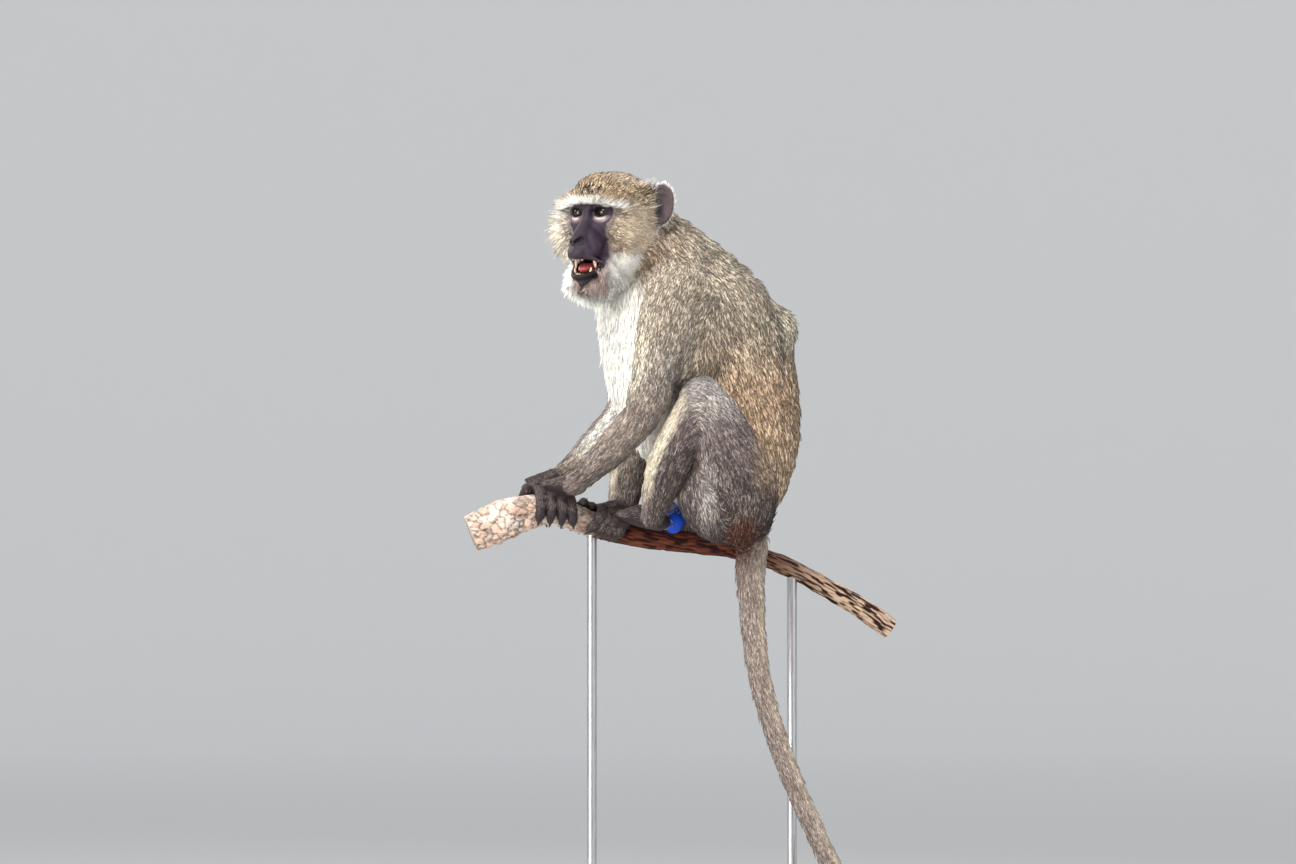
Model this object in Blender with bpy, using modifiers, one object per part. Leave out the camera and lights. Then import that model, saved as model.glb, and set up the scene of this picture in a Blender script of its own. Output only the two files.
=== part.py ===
"""A life-size vervet monkey sitting on a cut length of branch, held up by a plain display stand.

Units are metres, +Z is up, and the origin is at the middle of the stand's underside. The monkey
faces -X with its left side towards -Y, and turns its head to its left. The solids give the outline
of the coat, so they are the animal's flesh and its fur together.

The soft forms are built the way a clay model is: masses and lofted limbs are laid over each other,
fused by a voxel remesh, smoothed, and parted where a person would name another part.
"""

import math
from dataclasses import dataclass

import bmesh
import bpy
from mathutils import Euler, Matrix, Vector

# --- Driving dimensions -------------------------------------------------------------------------
GAP = 0.0003            # clear gap between two pieces that touch
ROUGH_GAP = 0.0009      # gap before a trimmed body is melted again, which brings it nearer
BASE_LENGTH = 0.470     # the stand's base, along X
BASE_WIDTH = 0.300      # along Y
BASE_THICKNESS = 0.022
BASE_BEVEL = 0.004
ROD_RADIUS = 0.005
ROD_FRONT_X = -0.100    # under the forearms
ROD_REAR_X = 0.105      # behind the rump
HEAD_YAW = math.radians(43)             # how far the head is turned to the animal's left
EYES_MIDDLE = Vector((-0.113, -0.050, 0.936))   # the point midway between the eyes
EYE_SPACING = 0.029     # between the pupils
EYE_RADIUS = 0.0092
EYE_BACK = -0.0075      # how far the middle of each eyeball lies behind the pupils' plane
TRUNK_VOXEL = 0.0042
HEAD_VOXEL = 0.0022
FINE_VOXEL = 0.0017     # for hands and feet
LIMB_VOXEL = 0.0034
TAIL_VOXEL = 0.0029
TRIM_VOXEL = 0.0015     # for a body that has been trimmed
SIDES = (("left", -1), ("right", 1))    # the left side of the body lies towards -Y

# How many triangles each body is thinned out to
HOLLOW_TRIANGLES = 180
HEAD_TRIANGLES = 950
JAW_TRIANGLES = 400
TONGUE_TRIANGLES = 120
EAR_TRIANGLES = 230
FOREARM_TRIANGLES = 170
UPPER_ARM_TRIANGLES = 190
HAND_TRIANGLES = 440
THIGH_TRIANGLES = 240
SHANK_TRIANGLES = 180
FOOT_TRIANGLES = 420
TAIL_BASE_TRIANGLES = 200
TAIL_TRIANGLES = 150
SCROTUM_TRIANGLES = 120
NECK_TRIANGLES = 280
CHEST_TRIANGLES = 520
LOINS_TRIANGLES = 560

WORLD = Matrix.Identity(4)


# --- Small tools --------------------------------------------------------------------------------
@dataclass(frozen=True)
class Station:
    """One elliptical section of a loft: its middle, and its half sizes in and across the bend."""

    x: float
    y: float
    z: float
    depth: float
    width: float

    def values(self):
        return (self.x, self.y, self.z, self.depth, self.width)


def clear_scene():
    for old in list(bpy.data.objects):
        bpy.data.objects.remove(old)


def new_collection(name):
    made = bpy.data.collections.new(name)
    bpy.context.scene.collection.children.link(made)
    return made


def make_material(name, colour, roughness, metallic=0.0):
    made = bpy.data.materials.new(name)
    made.use_nodes = True
    shader = made.node_tree.nodes["Principled BSDF"]
    shader.inputs["Base Color"].default_value = (*colour, 1.0)
    shader.inputs["Roughness"].default_value = roughness
    shader.inputs["Metallic"].default_value = metallic
    return made


def catmull(before, start, end, after, share):
    """The point at share between start and end on a curve through all four."""
    return tuple(
        0.5 * (2 * b + (c - a) * share + (2 * a - 5 * b + 4 * c - d) * share**2
               + (3 * b - a - 3 * c + d) * share**3)
        for a, b, c, d in zip(before, start, end, after)
    )


def refine(stations, steps):
    """Adds steps - 1 smooth sections between each two stations."""
    rows = [s.values() for s in stations]
    rows = [rows[0], *rows, rows[-1]]
    made = []
    for i in range(1, len(rows) - 2):
        for k in range(steps):
            made.append(Station(*catmull(*rows[i - 1:i + 3], k / steps)))
    return [*made, stations[-1]]


def section_frame(stations, index, side):
    """The tangent, side and depth directions at a section."""
    before = stations[max(index - 1, 0)]
    after = stations[min(index + 1, len(stations) - 1)]
    along = Vector(after.values()[:3]) - Vector(before.values()[:3])
    along.normalize()
    across = (side - side.dot(along) * along).normalized()
    return along, across, along.cross(across)


def loft(stations, side=(0, 1, 0), steps=3, corners=20, round_ends=True):
    """A closed tube through elliptical sections. side is the direction of their widths."""
    sections = refine(stations, steps)
    rings = []
    for i, section in enumerate(sections):
        along, across, deep = section_frame(sections, i, Vector(side))
        middle = Vector(section.values()[:3])
        rings.append((middle, along, across * section.width, deep * section.depth))
    if round_ends:
        caps = [math.radians(angle) for angle in (28, 54, 76)]
        first, last = rings[0], rings[-1]
        reach = min(first[2].length, first[3].length)
        head = [(first[0] - first[1] * reach * math.sin(c), first[1],
                 first[2] * math.cos(c), first[3] * math.cos(c)) for c in reversed(caps)]
        reach = min(last[2].length, last[3].length)
        tail = [(last[0] + last[1] * reach * math.sin(c), last[1],
                 last[2] * math.cos(c), last[3] * math.cos(c)) for c in caps]
        rings = head + rings + tail
    made = bmesh.new()
    grid = []
    for middle, _, across, deep in rings:
        turns = [2 * math.pi * k / corners for k in range(corners)]
        grid.append([made.verts.new(middle + across * math.cos(t) + deep * math.sin(t))
                     for t in turns])
    for low, high in zip(grid, grid[1:]):
        for k in range(corners):
            nxt = (k + 1) % corners
            made.faces.new((low[k], low[nxt], high[nxt], high[k]))
    made.faces.new(list(reversed(grid[0])))
    made.faces.new(grid[-1])
    bmesh.ops.recalc_face_normals(made, faces=made.faces)
    return made


def tube(points, radii, steps=3, corners=12, side=(0, 1, 0)):
    """A round loft through points."""
    stations = [Station(*p, r, r) for p, r in zip(points, radii)]
    return loft(stations, side, steps, corners)


def ball(middle, radii, turn=(0, 0, 0), frame=WORLD, segments=28):
    """An ellipsoid of these half sizes, turned by the angles in degrees, in a frame."""
    made = bmesh.new()
    bmesh.ops.create_uvsphere(made, u_segments=segments, v_segments=segments // 2, radius=1)
    shape = Matrix.Diagonal((*radii, 1))
    turned = Euler([math.radians(a) for a in turn]).to_matrix().to_4x4()
    made.transform(frame @ Matrix.Translation(middle) @ turned @ shape)
    if frame.determinant() < 0:
        bmesh.ops.reverse_faces(made, faces=made.faces)
    return made


def cone(foot, tip, radius, frame=WORLD, corners=10):
    """A tooth: a narrow cone from foot to tip."""
    foot, tip = frame @ Vector(foot), frame @ Vector(tip)
    axis = tip - foot
    made = bmesh.new()
    bmesh.ops.create_cone(made, cap_ends=True, segments=corners, radius1=radius,
                          radius2=radius * 0.18, depth=axis.length)
    turned = axis.to_track_quat("Z", "Y").to_matrix().to_4x4()
    made.transform(Matrix.Translation((foot + tip) / 2) @ turned)
    return made


def joined(pieces):
    """One bmesh with every piece in it."""
    whole = bmesh.new()
    for piece in pieces:
        loose = bpy.data.meshes.new("loose")
        piece.to_mesh(loose)
        piece.free()
        whole.from_mesh(loose)
        bpy.data.meshes.remove(loose)
    return whole


def to_object(name, shape):
    """Turns a bmesh into an object in the collection of helpers."""
    mesh = bpy.data.meshes.new(name)
    shape.to_mesh(mesh)
    shape.free()
    made = bpy.data.objects.new(name, mesh)
    helpers.objects.link(made)
    return made


def settle(thing):
    """Applies an object's modifiers to its mesh."""
    bpy.context.view_layer.update()
    graph = bpy.context.evaluated_depsgraph_get()
    solid = bpy.data.meshes.new_from_object(thing.evaluated_get(graph), depsgraph=graph)
    thing.modifiers.clear()
    thing.data = solid
    return thing


def triangles_of(thing):
    thing.data.calc_loop_triangles()
    return len(thing.data.loop_triangles)


def is_sound(thing):
    """Whether the mesh is one closed surface without pinched edges or corners."""
    shape = bmesh.new()
    shape.from_mesh(thing.data)
    sound = (all(edge.is_manifold for edge in shape.edges)
             and all(vert.is_manifold for vert in shape.verts))
    shape.free()
    return sound


def thin_out(thing, budget):
    """Decimates to about budget triangles, or to the nearest count that stays sound."""
    count = triangles_of(thing)
    whole = thing.data.copy()
    for attempt in range(20):
        wanted = budget * (1 + 0.04 * attempt)
        if count <= wanted:
            break
        thing.data = whole.copy()
        thin = thing.modifiers.new("thin_out", "DECIMATE")
        thin.ratio = wanted / count
        thin.use_collapse_triangulate = True
        settle(thing)
        if is_sound(thing):
            return thing
    thing.data = whole
    return thing


def melt(thing, voxel, passes=0):
    """Rebuilds a body as one even closed skin, and eases it."""
    whole = thing.modifiers.new("melt", "REMESH")
    whole.mode = "VOXEL"
    whole.voxel_size = voxel
    if passes:
        ease = thing.modifiers.new("ease", "SMOOTH")
        ease.factor = 0.5
        ease.iterations = passes
    return settle(thing)


def fuse(name, pieces, voxel, passes):
    """Melts overlapping pieces into one smooth body."""
    return melt(to_object(name, joined(pieces)), voxel, passes)


def keep_largest(thing):
    """Drops the slivers that a Boolean leaves beside the body."""
    shape = bmesh.new()
    shape.from_mesh(thing.data)
    left, islands = set(shape.verts), []
    while left:
        todo, island = [left.pop()], set()
        while todo:
            vert = todo.pop()
            island.add(vert)
            for edge in vert.link_edges:
                other = edge.other_vert(vert)
                if other in left:
                    left.discard(other)
                    todo.append(other)
        islands.append(island)
    islands.sort(key=len)
    for island in islands[:-1]:
        bmesh.ops.delete(shape, geom=list(island), context="VERTS")
    shape.to_mesh(thing.data)
    shape.free()
    return thing


def boolean(thing, other, operation):
    cut = thing.modifiers.new(operation.lower(), "BOOLEAN")
    cut.operation = operation
    cut.object = other
    cut.solver = "MANIFOLD"
    return settle(thing)


def grown(thing, by):
    """A copy of a body, fatter by a distance."""
    copy = bpy.data.objects.new(thing.name + "_grown", thing.data.copy())
    helpers.objects.link(copy)
    swell = copy.modifiers.new("swell", "DISPLACE")
    swell.strength = by
    swell.mid_level = 0.0
    return settle(copy)


def corners_of(thing):
    points = [v.co for v in thing.data.vertices]
    low = Vector([min(p[i] for p in points) for i in range(3)])
    high = Vector([max(p[i] for p in points) for i in range(3)])
    return low, high


def boxes_meet(one, other):
    (low_a, high_a), (low_b, high_b) = corners_of(one), corners_of(other)
    return all(low_a[i] < high_b[i] + GAP and low_b[i] < high_a[i] + GAP for i in range(3))


def part_at(thing, name, point, normal):
    """Cuts off what lies on the normal's side of a plane, as a new object of that name."""
    point, normal = Vector(point), Vector(normal).normalized()
    halves = []
    for offset, clear_outer in ((-GAP / 2, True), (GAP / 2, False)):
        shape = bmesh.new()
        shape.from_mesh(thing.data)
        cut = bmesh.ops.bisect_plane(
            shape, geom=[*shape.verts, *shape.edges, *shape.faces], dist=1e-6,
            plane_co=point + normal * offset, plane_no=normal,
            clear_outer=clear_outer, clear_inner=not clear_outer)
        rim = [g for g in cut["geom_cut"] if isinstance(g, bmesh.types.BMEdge)]
        bmesh.ops.holes_fill(shape, edges=rim)
        bmesh.ops.recalc_face_normals(shape, faces=shape.faces)
        halves.append(shape)
    halves[0].to_mesh(thing.data)
    halves[0].free()
    return to_object(name, halves[1])


# --- Collections and finishes -------------------------------------------------------------------
clear_scene()
model = new_collection("vervet_monkey")
helpers = new_collection("helpers")
helpers.hide_render = True

OLIVE_COAT = make_material("olive_coat", (0.30, 0.25, 0.18), 0.85)
GREY_COAT = make_material("grey_coat", (0.27, 0.25, 0.24), 0.85)
WHITE_COAT = make_material("white_coat", (0.80, 0.78, 0.72), 0.85)
DARK_SKIN = make_material("dark_skin", (0.045, 0.038, 0.045), 0.55)
BLUE_SKIN = make_material("blue_skin", (0.03, 0.12, 0.62), 0.50)
RED_TONGUE = make_material("red_tongue", (0.55, 0.12, 0.13), 0.35)
EYE_GLAZE = make_material("eye_glaze", (0.10, 0.045, 0.02), 0.10)
BARK = make_material("bark", (0.42, 0.22, 0.14), 0.90)
DARK_WOOD = make_material("dark_wood", (0.06, 0.045, 0.035), 0.45)
ROD_STEEL = make_material("rod_steel", (0.55, 0.55, 0.56), 0.30, 1.0)

placed = []     # every finished node, in the order in which it keeps its shape


def trim(thing, margin):
    """Cuts a body back from every node placed before it, by a margin."""
    for other in placed:
        if boxes_meet(thing, other):
            cutter = grown(other, margin)
            boolean(thing, cutter, "DIFFERENCE")
            bpy.data.objects.remove(cutter)
    keep_largest(thing)


def place(thing, finish, budget=None):
    """Trims a body by the nodes placed before it, thins it out, and adds it to the model."""
    if budget:
        trim(thing, ROUGH_GAP)
        melt(thing, TRIM_VOXEL)
        thin_out(thing, budget)
    trim(thing, GAP)
    thing.data.materials.clear()
    thing.data.materials.append(finish)
    thing.data.shade_smooth()
    helpers.objects.unlink(thing)
    model.objects.link(thing)
    placed.append(thing)
    return thing


# --- The perch: a cut length of gnarled branch ----------------------------------------------------
PERCH = [
    Station(-0.222, 0.004, 0.617, 0.0190, 0.0190),
    Station(-0.194, 0.001, 0.628, 0.0205, 0.0195),
    Station(-0.172, -0.002, 0.637, 0.0185, 0.0185),
    Station(-0.148, -0.003, 0.641, 0.0155, 0.0155),
    Station(-0.123, -0.001, 0.635, 0.0135, 0.0130),
    Station(-0.092, 0.001, 0.624, 0.0120, 0.0120),
    Station(-0.041, 0.002, 0.612, 0.0108, 0.0108),
    Station(0.010, 0.000, 0.606, 0.0102, 0.0102),
    Station(0.044, -0.001, 0.601, 0.0096, 0.0096),
    Station(0.082, 0.000, 0.590, 0.0090, 0.0090),
    Station(0.112, 0.002, 0.577, 0.0092, 0.0092),
    Station(0.143, 0.002, 0.560, 0.0096, 0.0096),
    Station(0.174, 0.000, 0.542, 0.0102, 0.0102),
    Station(0.206, -0.002, 0.520, 0.0108, 0.0108),
]
PERCH_STEPS = 2
BARK_RIPPLE = 0.03      # how far each wave of the bark stands out, as a share of the radius


def perch_at(x):
    """The middle and the radius of the perch at a place along it."""
    fine = refine(PERCH, 8)
    low = max((s for s in fine if s.x <= x), key=lambda s: s.x)
    high = min((s for s in fine if s.x >= x), key=lambda s: s.x)
    share = 0 if high.x == low.x else (x - low.x) / (high.x - low.x)
    mixed = [a + (b - a) * share for a, b in zip(low.values(), high.values())]
    return Vector(mixed[:3]), mixed[3]


def make_perch():
    branch = to_object("perch_branch", loft(PERCH, steps=PERCH_STEPS, corners=10, round_ends=False))
    fine = refine(PERCH, PERCH_STEPS)
    for vert in branch.data.vertices:
        nearest = min(fine, key=lambda s: abs(s.x - vert.co.x))
        middle = Vector(nearest.values()[:3])
        turn = math.atan2(vert.co.z - middle.z, vert.co.y - middle.y)
        swell = math.sin(3 * turn + 60 * vert.co.x) + math.sin(5 * turn - 95 * vert.co.x)
        vert.co += (vert.co - middle) * BARK_RIPPLE * swell
    return branch


place(make_perch(), BARK)


# --- The stand ------------------------------------------------------------------------------------
def make_base():
    shape = bmesh.new()
    bmesh.ops.create_cube(shape, size=1)
    shape.transform(Matrix.Translation((0, 0, BASE_THICKNESS / 2))
                    @ Matrix.Diagonal((BASE_LENGTH, BASE_WIDTH, BASE_THICKNESS, 1)))
    base = to_object("stand_base", shape)
    edge = base.modifiers.new("edge", "BEVEL")
    edge.width = BASE_BEVEL
    edge.segments = 2
    return settle(base)


def make_rod(name, x):
    """A rod from the base to just inside the perch, where it is trimmed to the bark."""
    middle, _ = perch_at(x)
    foot = BASE_THICKNESS + GAP
    shape = bmesh.new()
    bmesh.ops.create_cone(shape, cap_ends=True, segments=16, radius1=ROD_RADIUS,
                          radius2=ROD_RADIUS, depth=middle.z - foot)
    shape.transform(Matrix.Translation((x, middle.y, (middle.z + foot) / 2)))
    return to_object(name, shape)


place(make_base(), DARK_WOOD)
place(make_rod("stand_rod_front", ROD_FRONT_X), ROD_STEEL)
place(make_rod("stand_rod_rear", ROD_REAR_X), ROD_STEEL)


# --- The head, in its own frame: +X out of the face, +Y to its left, +Z up, from between the eyes --
HEAD = Matrix.Translation(EYES_MIDDLE) @ Matrix((
    (-math.cos(HEAD_YAW), math.sin(HEAD_YAW), 0, 0),
    (-math.sin(HEAD_YAW), -math.cos(HEAD_YAW), 0, 0),
    (0, 0, 1, 0),
    (0, 0, 0, 1),
))


def head_ball(middle, radii, turn=(0, 0, 0)):
    return ball(middle, radii, turn, HEAD)


def pair_of_balls(middle, radii, turn=(0, 0, 0)):
    """The same mass on both sides of the head."""
    x, y, z = middle
    rx, ry, rz = turn
    return [head_ball((x, y, z), radii, (rx, ry, rz)), head_ball((x, -y, z), radii, (-rx, ry, -rz))]


def head_tube(points, radii, corners=14):
    points = [HEAD @ Vector(p) for p in points]
    return tube(points, radii, corners=corners, side=HEAD.col[1].to_3d())


def make_eye(name, side):
    return to_object(name, ball((EYE_BACK, side * -EYE_SPACING / 2, 0), (EYE_RADIUS,) * 3,
                                frame=HEAD, segments=12))


def mouth_hollow():
    """The space inside the open mouth."""
    space = fuse("mouth_hollow", [
        head_ball((0.008, 0, -0.0525), (0.023, 0.0105, 0.0075), (0, 6, 0)),
        head_ball((-0.006, 0, -0.052), (0.016, 0.010, 0.009)),
    ], FINE_VOXEL, 1)
    return thin_out(space, HOLLOW_TRIANGLES)


def make_head():
    """Cranium, brow, face, upper jaw and the cheek ruffs, with the coat on them."""
    masses = [
        head_ball((-0.043, 0, 0.006), (0.0485, 0.0420, 0.0380)),         # cranium
        head_ball((-0.020, 0, 0.010), (0.0285, 0.0345, 0.0305)),         # forehead
        head_ball((-0.052, 0, -0.012), (0.036, 0.0370, 0.0320)),         # nape
        head_ball((-0.010, 0, -0.008), (0.0155, 0.027, 0.024)),          # upper face
        head_ball((0.003, 0, -0.030), (0.021, 0.0165, 0.019), (0, 16, 0)),   # upper jaw
        head_ball((0.012, 0, -0.040), (0.0165, 0.0125, 0.0085), (0, 10, 0)),  # upper lip
        head_tube([(-0.001, 0, 0.000), (0.009, 0, -0.012), (0.0195, 0, -0.0255)],
                  [0.0075, 0.0062, 0.0068]),                             # bridge of the nose
        head_tube([(-0.018, -0.042, 0.014), (-0.004, -0.024, 0.0155), (0.003, 0, 0.0145),
                   (-0.004, 0.024, 0.0155), (-0.018, 0.042, 0.014)],
                  [0.0085, 0.0085, 0.0070, 0.0085, 0.0085]),             # brow band
    ]
    masses += pair_of_balls((-0.026, 0.038, -0.013), (0.023, 0.030, 0.024), (0, 0, 24))  # ruff
    masses += pair_of_balls((-0.016, 0.022, -0.026), (0.018, 0.016, 0.020))              # cheek
    masses += pair_of_balls((0.0185, 0.0042, -0.0275), (0.0055, 0.0050, 0.0050))         # nostril
    masses += pair_of_balls((-0.027, 0.024, -0.040), (0.019, 0.016, 0.020))              # jowl
    whole = fuse("head", masses, HEAD_VOXEL, 3)
    sockets = to_object("sockets", joined(
        pair_of_balls((0.000, 0.0150, -0.001), (0.0085, 0.0085, 0.0062), (0, 0, 12))))
    boolean(whole, sockets, "DIFFERENCE")
    return whole


def make_lower_jaw():
    """Chin, lower lip, throat and the white whiskers under the cheeks."""
    masses = [
        head_ball((0.006, 0, -0.0675), (0.0190, 0.0125, 0.0095), (0, 22, 0)),   # chin
        head_tube([(0.012, -0.006, -0.061), (0.019, 0, -0.0635), (0.012, 0.006, -0.061)],
                  [0.0045, 0.0045, 0.0045]),                                   # lower lip
        head_ball((-0.014, 0, -0.074), (0.026, 0.021, 0.0165), (0, 24, 0)),     # beard
        head_ball((-0.040, 0, -0.060), (0.026, 0.026, 0.030)),                  # throat
    ]
    masses += pair_of_balls((-0.010, 0.0135, -0.060), (0.017, 0.0080, 0.0120), (0, 12, 0))
    masses += pair_of_balls((-0.027, 0.0235, -0.058), (0.018, 0.0150, 0.0270), (0, 14, 0))
    return fuse("lower_jaw", masses, HEAD_VOXEL, 3)


def canine(x, side, root, tip):
    return cone((x, side * 0.0088, root), (x + 0.001, side * 0.0095, tip), 0.0021, HEAD)


def incisors(x, root, tip):
    """A short row of front teeth, as one bar."""
    return ball((x, 0, (root + tip) / 2), (0.0030, 0.0062, abs(root - tip) / 2), frame=HEAD,
                segments=12)


def add_teeth(body, teeth):
    for tooth in teeth:
        extra = to_object("tooth", tooth)
        boolean(body, extra, "UNION")
        bpy.data.objects.remove(extra)
    return body


def make_ear(name, side):
    """A cupped ear that stands out of the coat beside the head."""
    where = Matrix.Translation((-0.0605, side * -0.0460, 0.0085))
    turned = Euler((0, math.radians(-8), math.radians(side * 41))).to_matrix().to_4x4()
    frame = HEAD @ where @ turned
    bowl = to_object(name, ball((0, 0, 0), (0.0150, 0.0062, 0.0215), frame=frame, segments=24))
    hollow = to_object("ear_hollow", ball((0.0010, side * -0.0046, 0), (0.0125, 0.0066, 0.0185),
                                          frame=frame, segments=24))
    boolean(bowl, hollow, "DIFFERENCE")
    bpy.data.objects.remove(hollow)
    return bowl


hollow = mouth_hollow()
for name, side in SIDES:
    place(make_eye(name + "_eye", side), EYE_GLAZE)
head = make_head()
boolean(head, hollow, "DIFFERENCE")
thin_out(head, HEAD_TRIANGLES)
add_teeth(head, [canine(0.0115, s, -0.043, -0.0535) for _, s in SIDES]
          + [incisors(0.0215, -0.0440, -0.0490)])
place(head, OLIVE_COAT)
tongue = fuse("tongue", [head_ball((0.002, 0, -0.0565), (0.0150, 0.0078, 0.0042), (0, 12, 0)),
                         head_ball((0.007, 0, -0.0550), (0.0070, 0.0062, 0.0036))],
              FINE_VOXEL, 2)
place(tongue, RED_TONGUE, TONGUE_TRIANGLES)
jaw = make_lower_jaw()
boolean(jaw, hollow, "DIFFERENCE")
trim(jaw, ROUGH_GAP)
melt(jaw, TRIM_VOXEL)
thin_out(jaw, JAW_TRIANGLES)
add_teeth(jaw, [canine(0.0140, s, -0.0630, -0.0540) for _, s in SIDES]
          + [incisors(0.0180, -0.0625, -0.0575)])
place(jaw, WHITE_COAT)
for name, side in SIDES:
    place(make_ear(name + "_ear", side), DARK_SKIN, EAR_TRIANGLES)


# --- Arms -----------------------------------------------------------------------------------------
def mirrored(points, side):
    """Stations for one side of the body from those for the left side, which lies towards -Y."""
    return [Station(s.x, s.y * -side, s.z, s.depth, s.width) for s in points]


LEFT_ARM = [
    Station(-0.018, -0.046, 0.862, 0.030, 0.024),
    Station(-0.034, -0.062, 0.835, 0.031, 0.026),
    Station(-0.047, -0.071, 0.795, 0.026, 0.024),
    Station(-0.056, -0.075, 0.758, 0.022, 0.021),
    Station(-0.066, -0.072, 0.733, 0.020, 0.020),
    Station(-0.086, -0.060, 0.708, 0.019, 0.018),
    Station(-0.108, -0.046, 0.683, 0.016, 0.014),
    Station(-0.124, -0.035, 0.667, 0.0125, 0.012),
]
ELBOW = Vector((-0.058, -0.074, 0.745))
ELBOW_CUT = Vector((-0.35, 0.10, -1.0))
ELBOW_SWAY = 0.012      # how much further back the right elbow is
ARM_FOLD = (-0.0042, -0.0631, 0.812)    # the fold of muscle from the upper arm to the flank
ARM_FOLD_RADII = (0.030, 0.014, 0.048)
ARM_FOLD_LEAN = 17      # degrees
ARM_FOLD_SWING = 23     # degrees
HAND_REACH = {-1: -0.136, 1: -0.146}    # where each palm lies along the perch, left and right
FOOT_REACH = {-1: -0.072, 1: -0.090}    # where the ball of each foot lies


def make_arm(name, side):
    stations = mirrored(LEFT_ARM, side)
    if side > 0:        # the right hand holds the perch a little further forward
        shift = HAND_REACH[1] - HAND_REACH[-1]
        last = len(stations) - 1
        stations = [Station(s.x + shift * i / last + ELBOW_SWAY * math.sin(math.pi * i / last),
                            s.y, s.z, s.depth, s.width) for i, s in enumerate(stations)]
    x, y, z = ARM_FOLD
    turn = (0, ARM_FOLD_LEAN, ARM_FOLD_SWING * -side)
    fold = ball((x, y * -side, z), ARM_FOLD_RADII, turn)
    return fuse(name + "_upper_arm", [loft(stations, side=(0.2, 1, 0), corners=18), fold],
                LIMB_VOXEL, 2)


BARK_REACH = 1.04       # how far the bark's ridges reach, as a share of the perch's radius
PAD_REACH = 0.80        # how much of a finger's radius stays clear of the bark


def digit(start_x, slant, angles, radii, side, stand_off=0.0):
    """A finger or toe bent round the perch. Angles in degrees: 90 is on top, 0 at the side."""
    points = []
    for i, angle in enumerate(angles):
        x = start_x + slant * i / (len(angles) - 1)
        middle, bark = perch_at(x)
        reach = bark * BARK_REACH + radii[i] * PAD_REACH + (stand_off if i == 0 else 0.0)
        turn = math.radians(angle)
        points.append(middle + Vector((0, side * math.cos(turn), math.sin(turn))) * reach)
    return tube(points, radii, steps=3, corners=10, side=(1, 0, 0))


FINGER_RADII = (0.0052, 0.0050, 0.0046, 0.0042, 0.0034)
FINGER_PITCH = 0.0098   # from one finger to the next along the perch
THUMB_RADII = (0.0052, 0.0048, 0.0038)


def make_hand(name, side):
    """Palm on top of the perch, fingers over its outer side, thumb over its inner side."""
    palm_x = HAND_REACH[side]
    middle, bark = perch_at(palm_x)
    top = middle.z + bark
    wrist = Vector((palm_x + 0.014, side * 0.034, top + 0.0150))
    knuckles = Vector((palm_x - 0.004, side * 0.016, top + 0.0055))
    pieces = [loft([Station(*wrist, 0.0110, 0.0105),
                    Station(*wrist.lerp(knuckles, 0.5), 0.0085, 0.0140),
                    Station(*knuckles, 0.0062, 0.0180)], side=(1, 0.35 * side, 0))]
    for i in range(4):
        start = palm_x - 0.0190 + FINGER_PITCH * i
        lower = -38 if i in (1, 2) else -28
        pieces.append(digit(start, -0.003 + 0.002 * i, (72, 44, 14, -14, lower),
                            FINGER_RADII, side, 0.0015))
    pieces.append(digit(palm_x + 0.012, -0.004, (80, 128, 168), THUMB_RADII, side, 0.001))
    return fuse(name + "_hand", pieces, FINE_VOXEL, 2)


for name, side in SIDES:
    upper = make_arm(name, side)
    cut_point = Vector((ELBOW.x, ELBOW.y * -side, ELBOW.z))
    cut_way = Vector((ELBOW_CUT.x, ELBOW_CUT.y * -side, ELBOW_CUT.z))
    lower = part_at(upper, name + "_forearm", cut_point, cut_way)
    place(lower, GREY_COAT, FOREARM_TRIANGLES)
    place(upper, GREY_COAT, UPPER_ARM_TRIANGLES)
    place(make_hand(name, side), DARK_SKIN, HAND_TRIANGLES)


# --- Legs -----------------------------------------------------------------------------------------
LEFT_THIGH = [
    Station(-0.004, -0.084, 0.750, 0.0230, 0.0225),
    Station(0.010, -0.079, 0.724, 0.0300, 0.0260),
    Station(0.025, -0.068, 0.690, 0.0375, 0.0300),
    Station(0.037, -0.056, 0.657, 0.0420, 0.0330),
    Station(0.040, -0.048, 0.632, 0.0340, 0.0310),
]
LEFT_SHANK = [
    Station(-0.006, -0.083, 0.750, 0.0225, 0.0215),
    Station(-0.019, -0.078, 0.725, 0.0245, 0.0215),
    Station(-0.034, -0.066, 0.690, 0.0240, 0.0190),
    Station(-0.043, -0.050, 0.655, 0.0190, 0.0155),
    Station(-0.046, -0.037, 0.634, 0.0140, 0.0130),
]
HAMSTRING = (0.001, -0.052, 0.650)      # what fills the fold between thigh and shank
HAMSTRING_RADII = (0.025, 0.026, 0.042)
HAMSTRING_LEAN = -22                    # degrees
KNEE_CUT_POINT = Vector((-0.004, 0.0, 0.750))
KNEE_CUT_WAY = Vector((-1.0, 0.0, 0.21))
TOE_RADII = (0.0050, 0.0048, 0.0044, 0.0036)
TOE_PITCH = 0.0085
HEEL_LENGTH = 0.036     # from the ball of the foot back to the heel


def make_leg(name, side):
    """Thigh and shank in one, folded at the knee."""
    thigh = mirrored(LEFT_THIGH, side)
    shank = mirrored(LEFT_SHANK, side)
    if side > 0:
        shift = FOOT_REACH[1] - FOOT_REACH[-1]
        last = len(shank) - 1
        shank = [Station(s.x + shift * i / last, s.y, s.z, s.depth, s.width)
                 for i, s in enumerate(shank)]
    x, y, z = HAMSTRING
    hamstring = ball((x, y * -side, z), HAMSTRING_RADII, (0, HAMSTRING_LEAN, 0))
    return fuse(name + "_thigh", [loft(thigh, corners=20), loft(shank, corners=18), hamstring],
                LIMB_VOXEL, 2)


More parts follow.
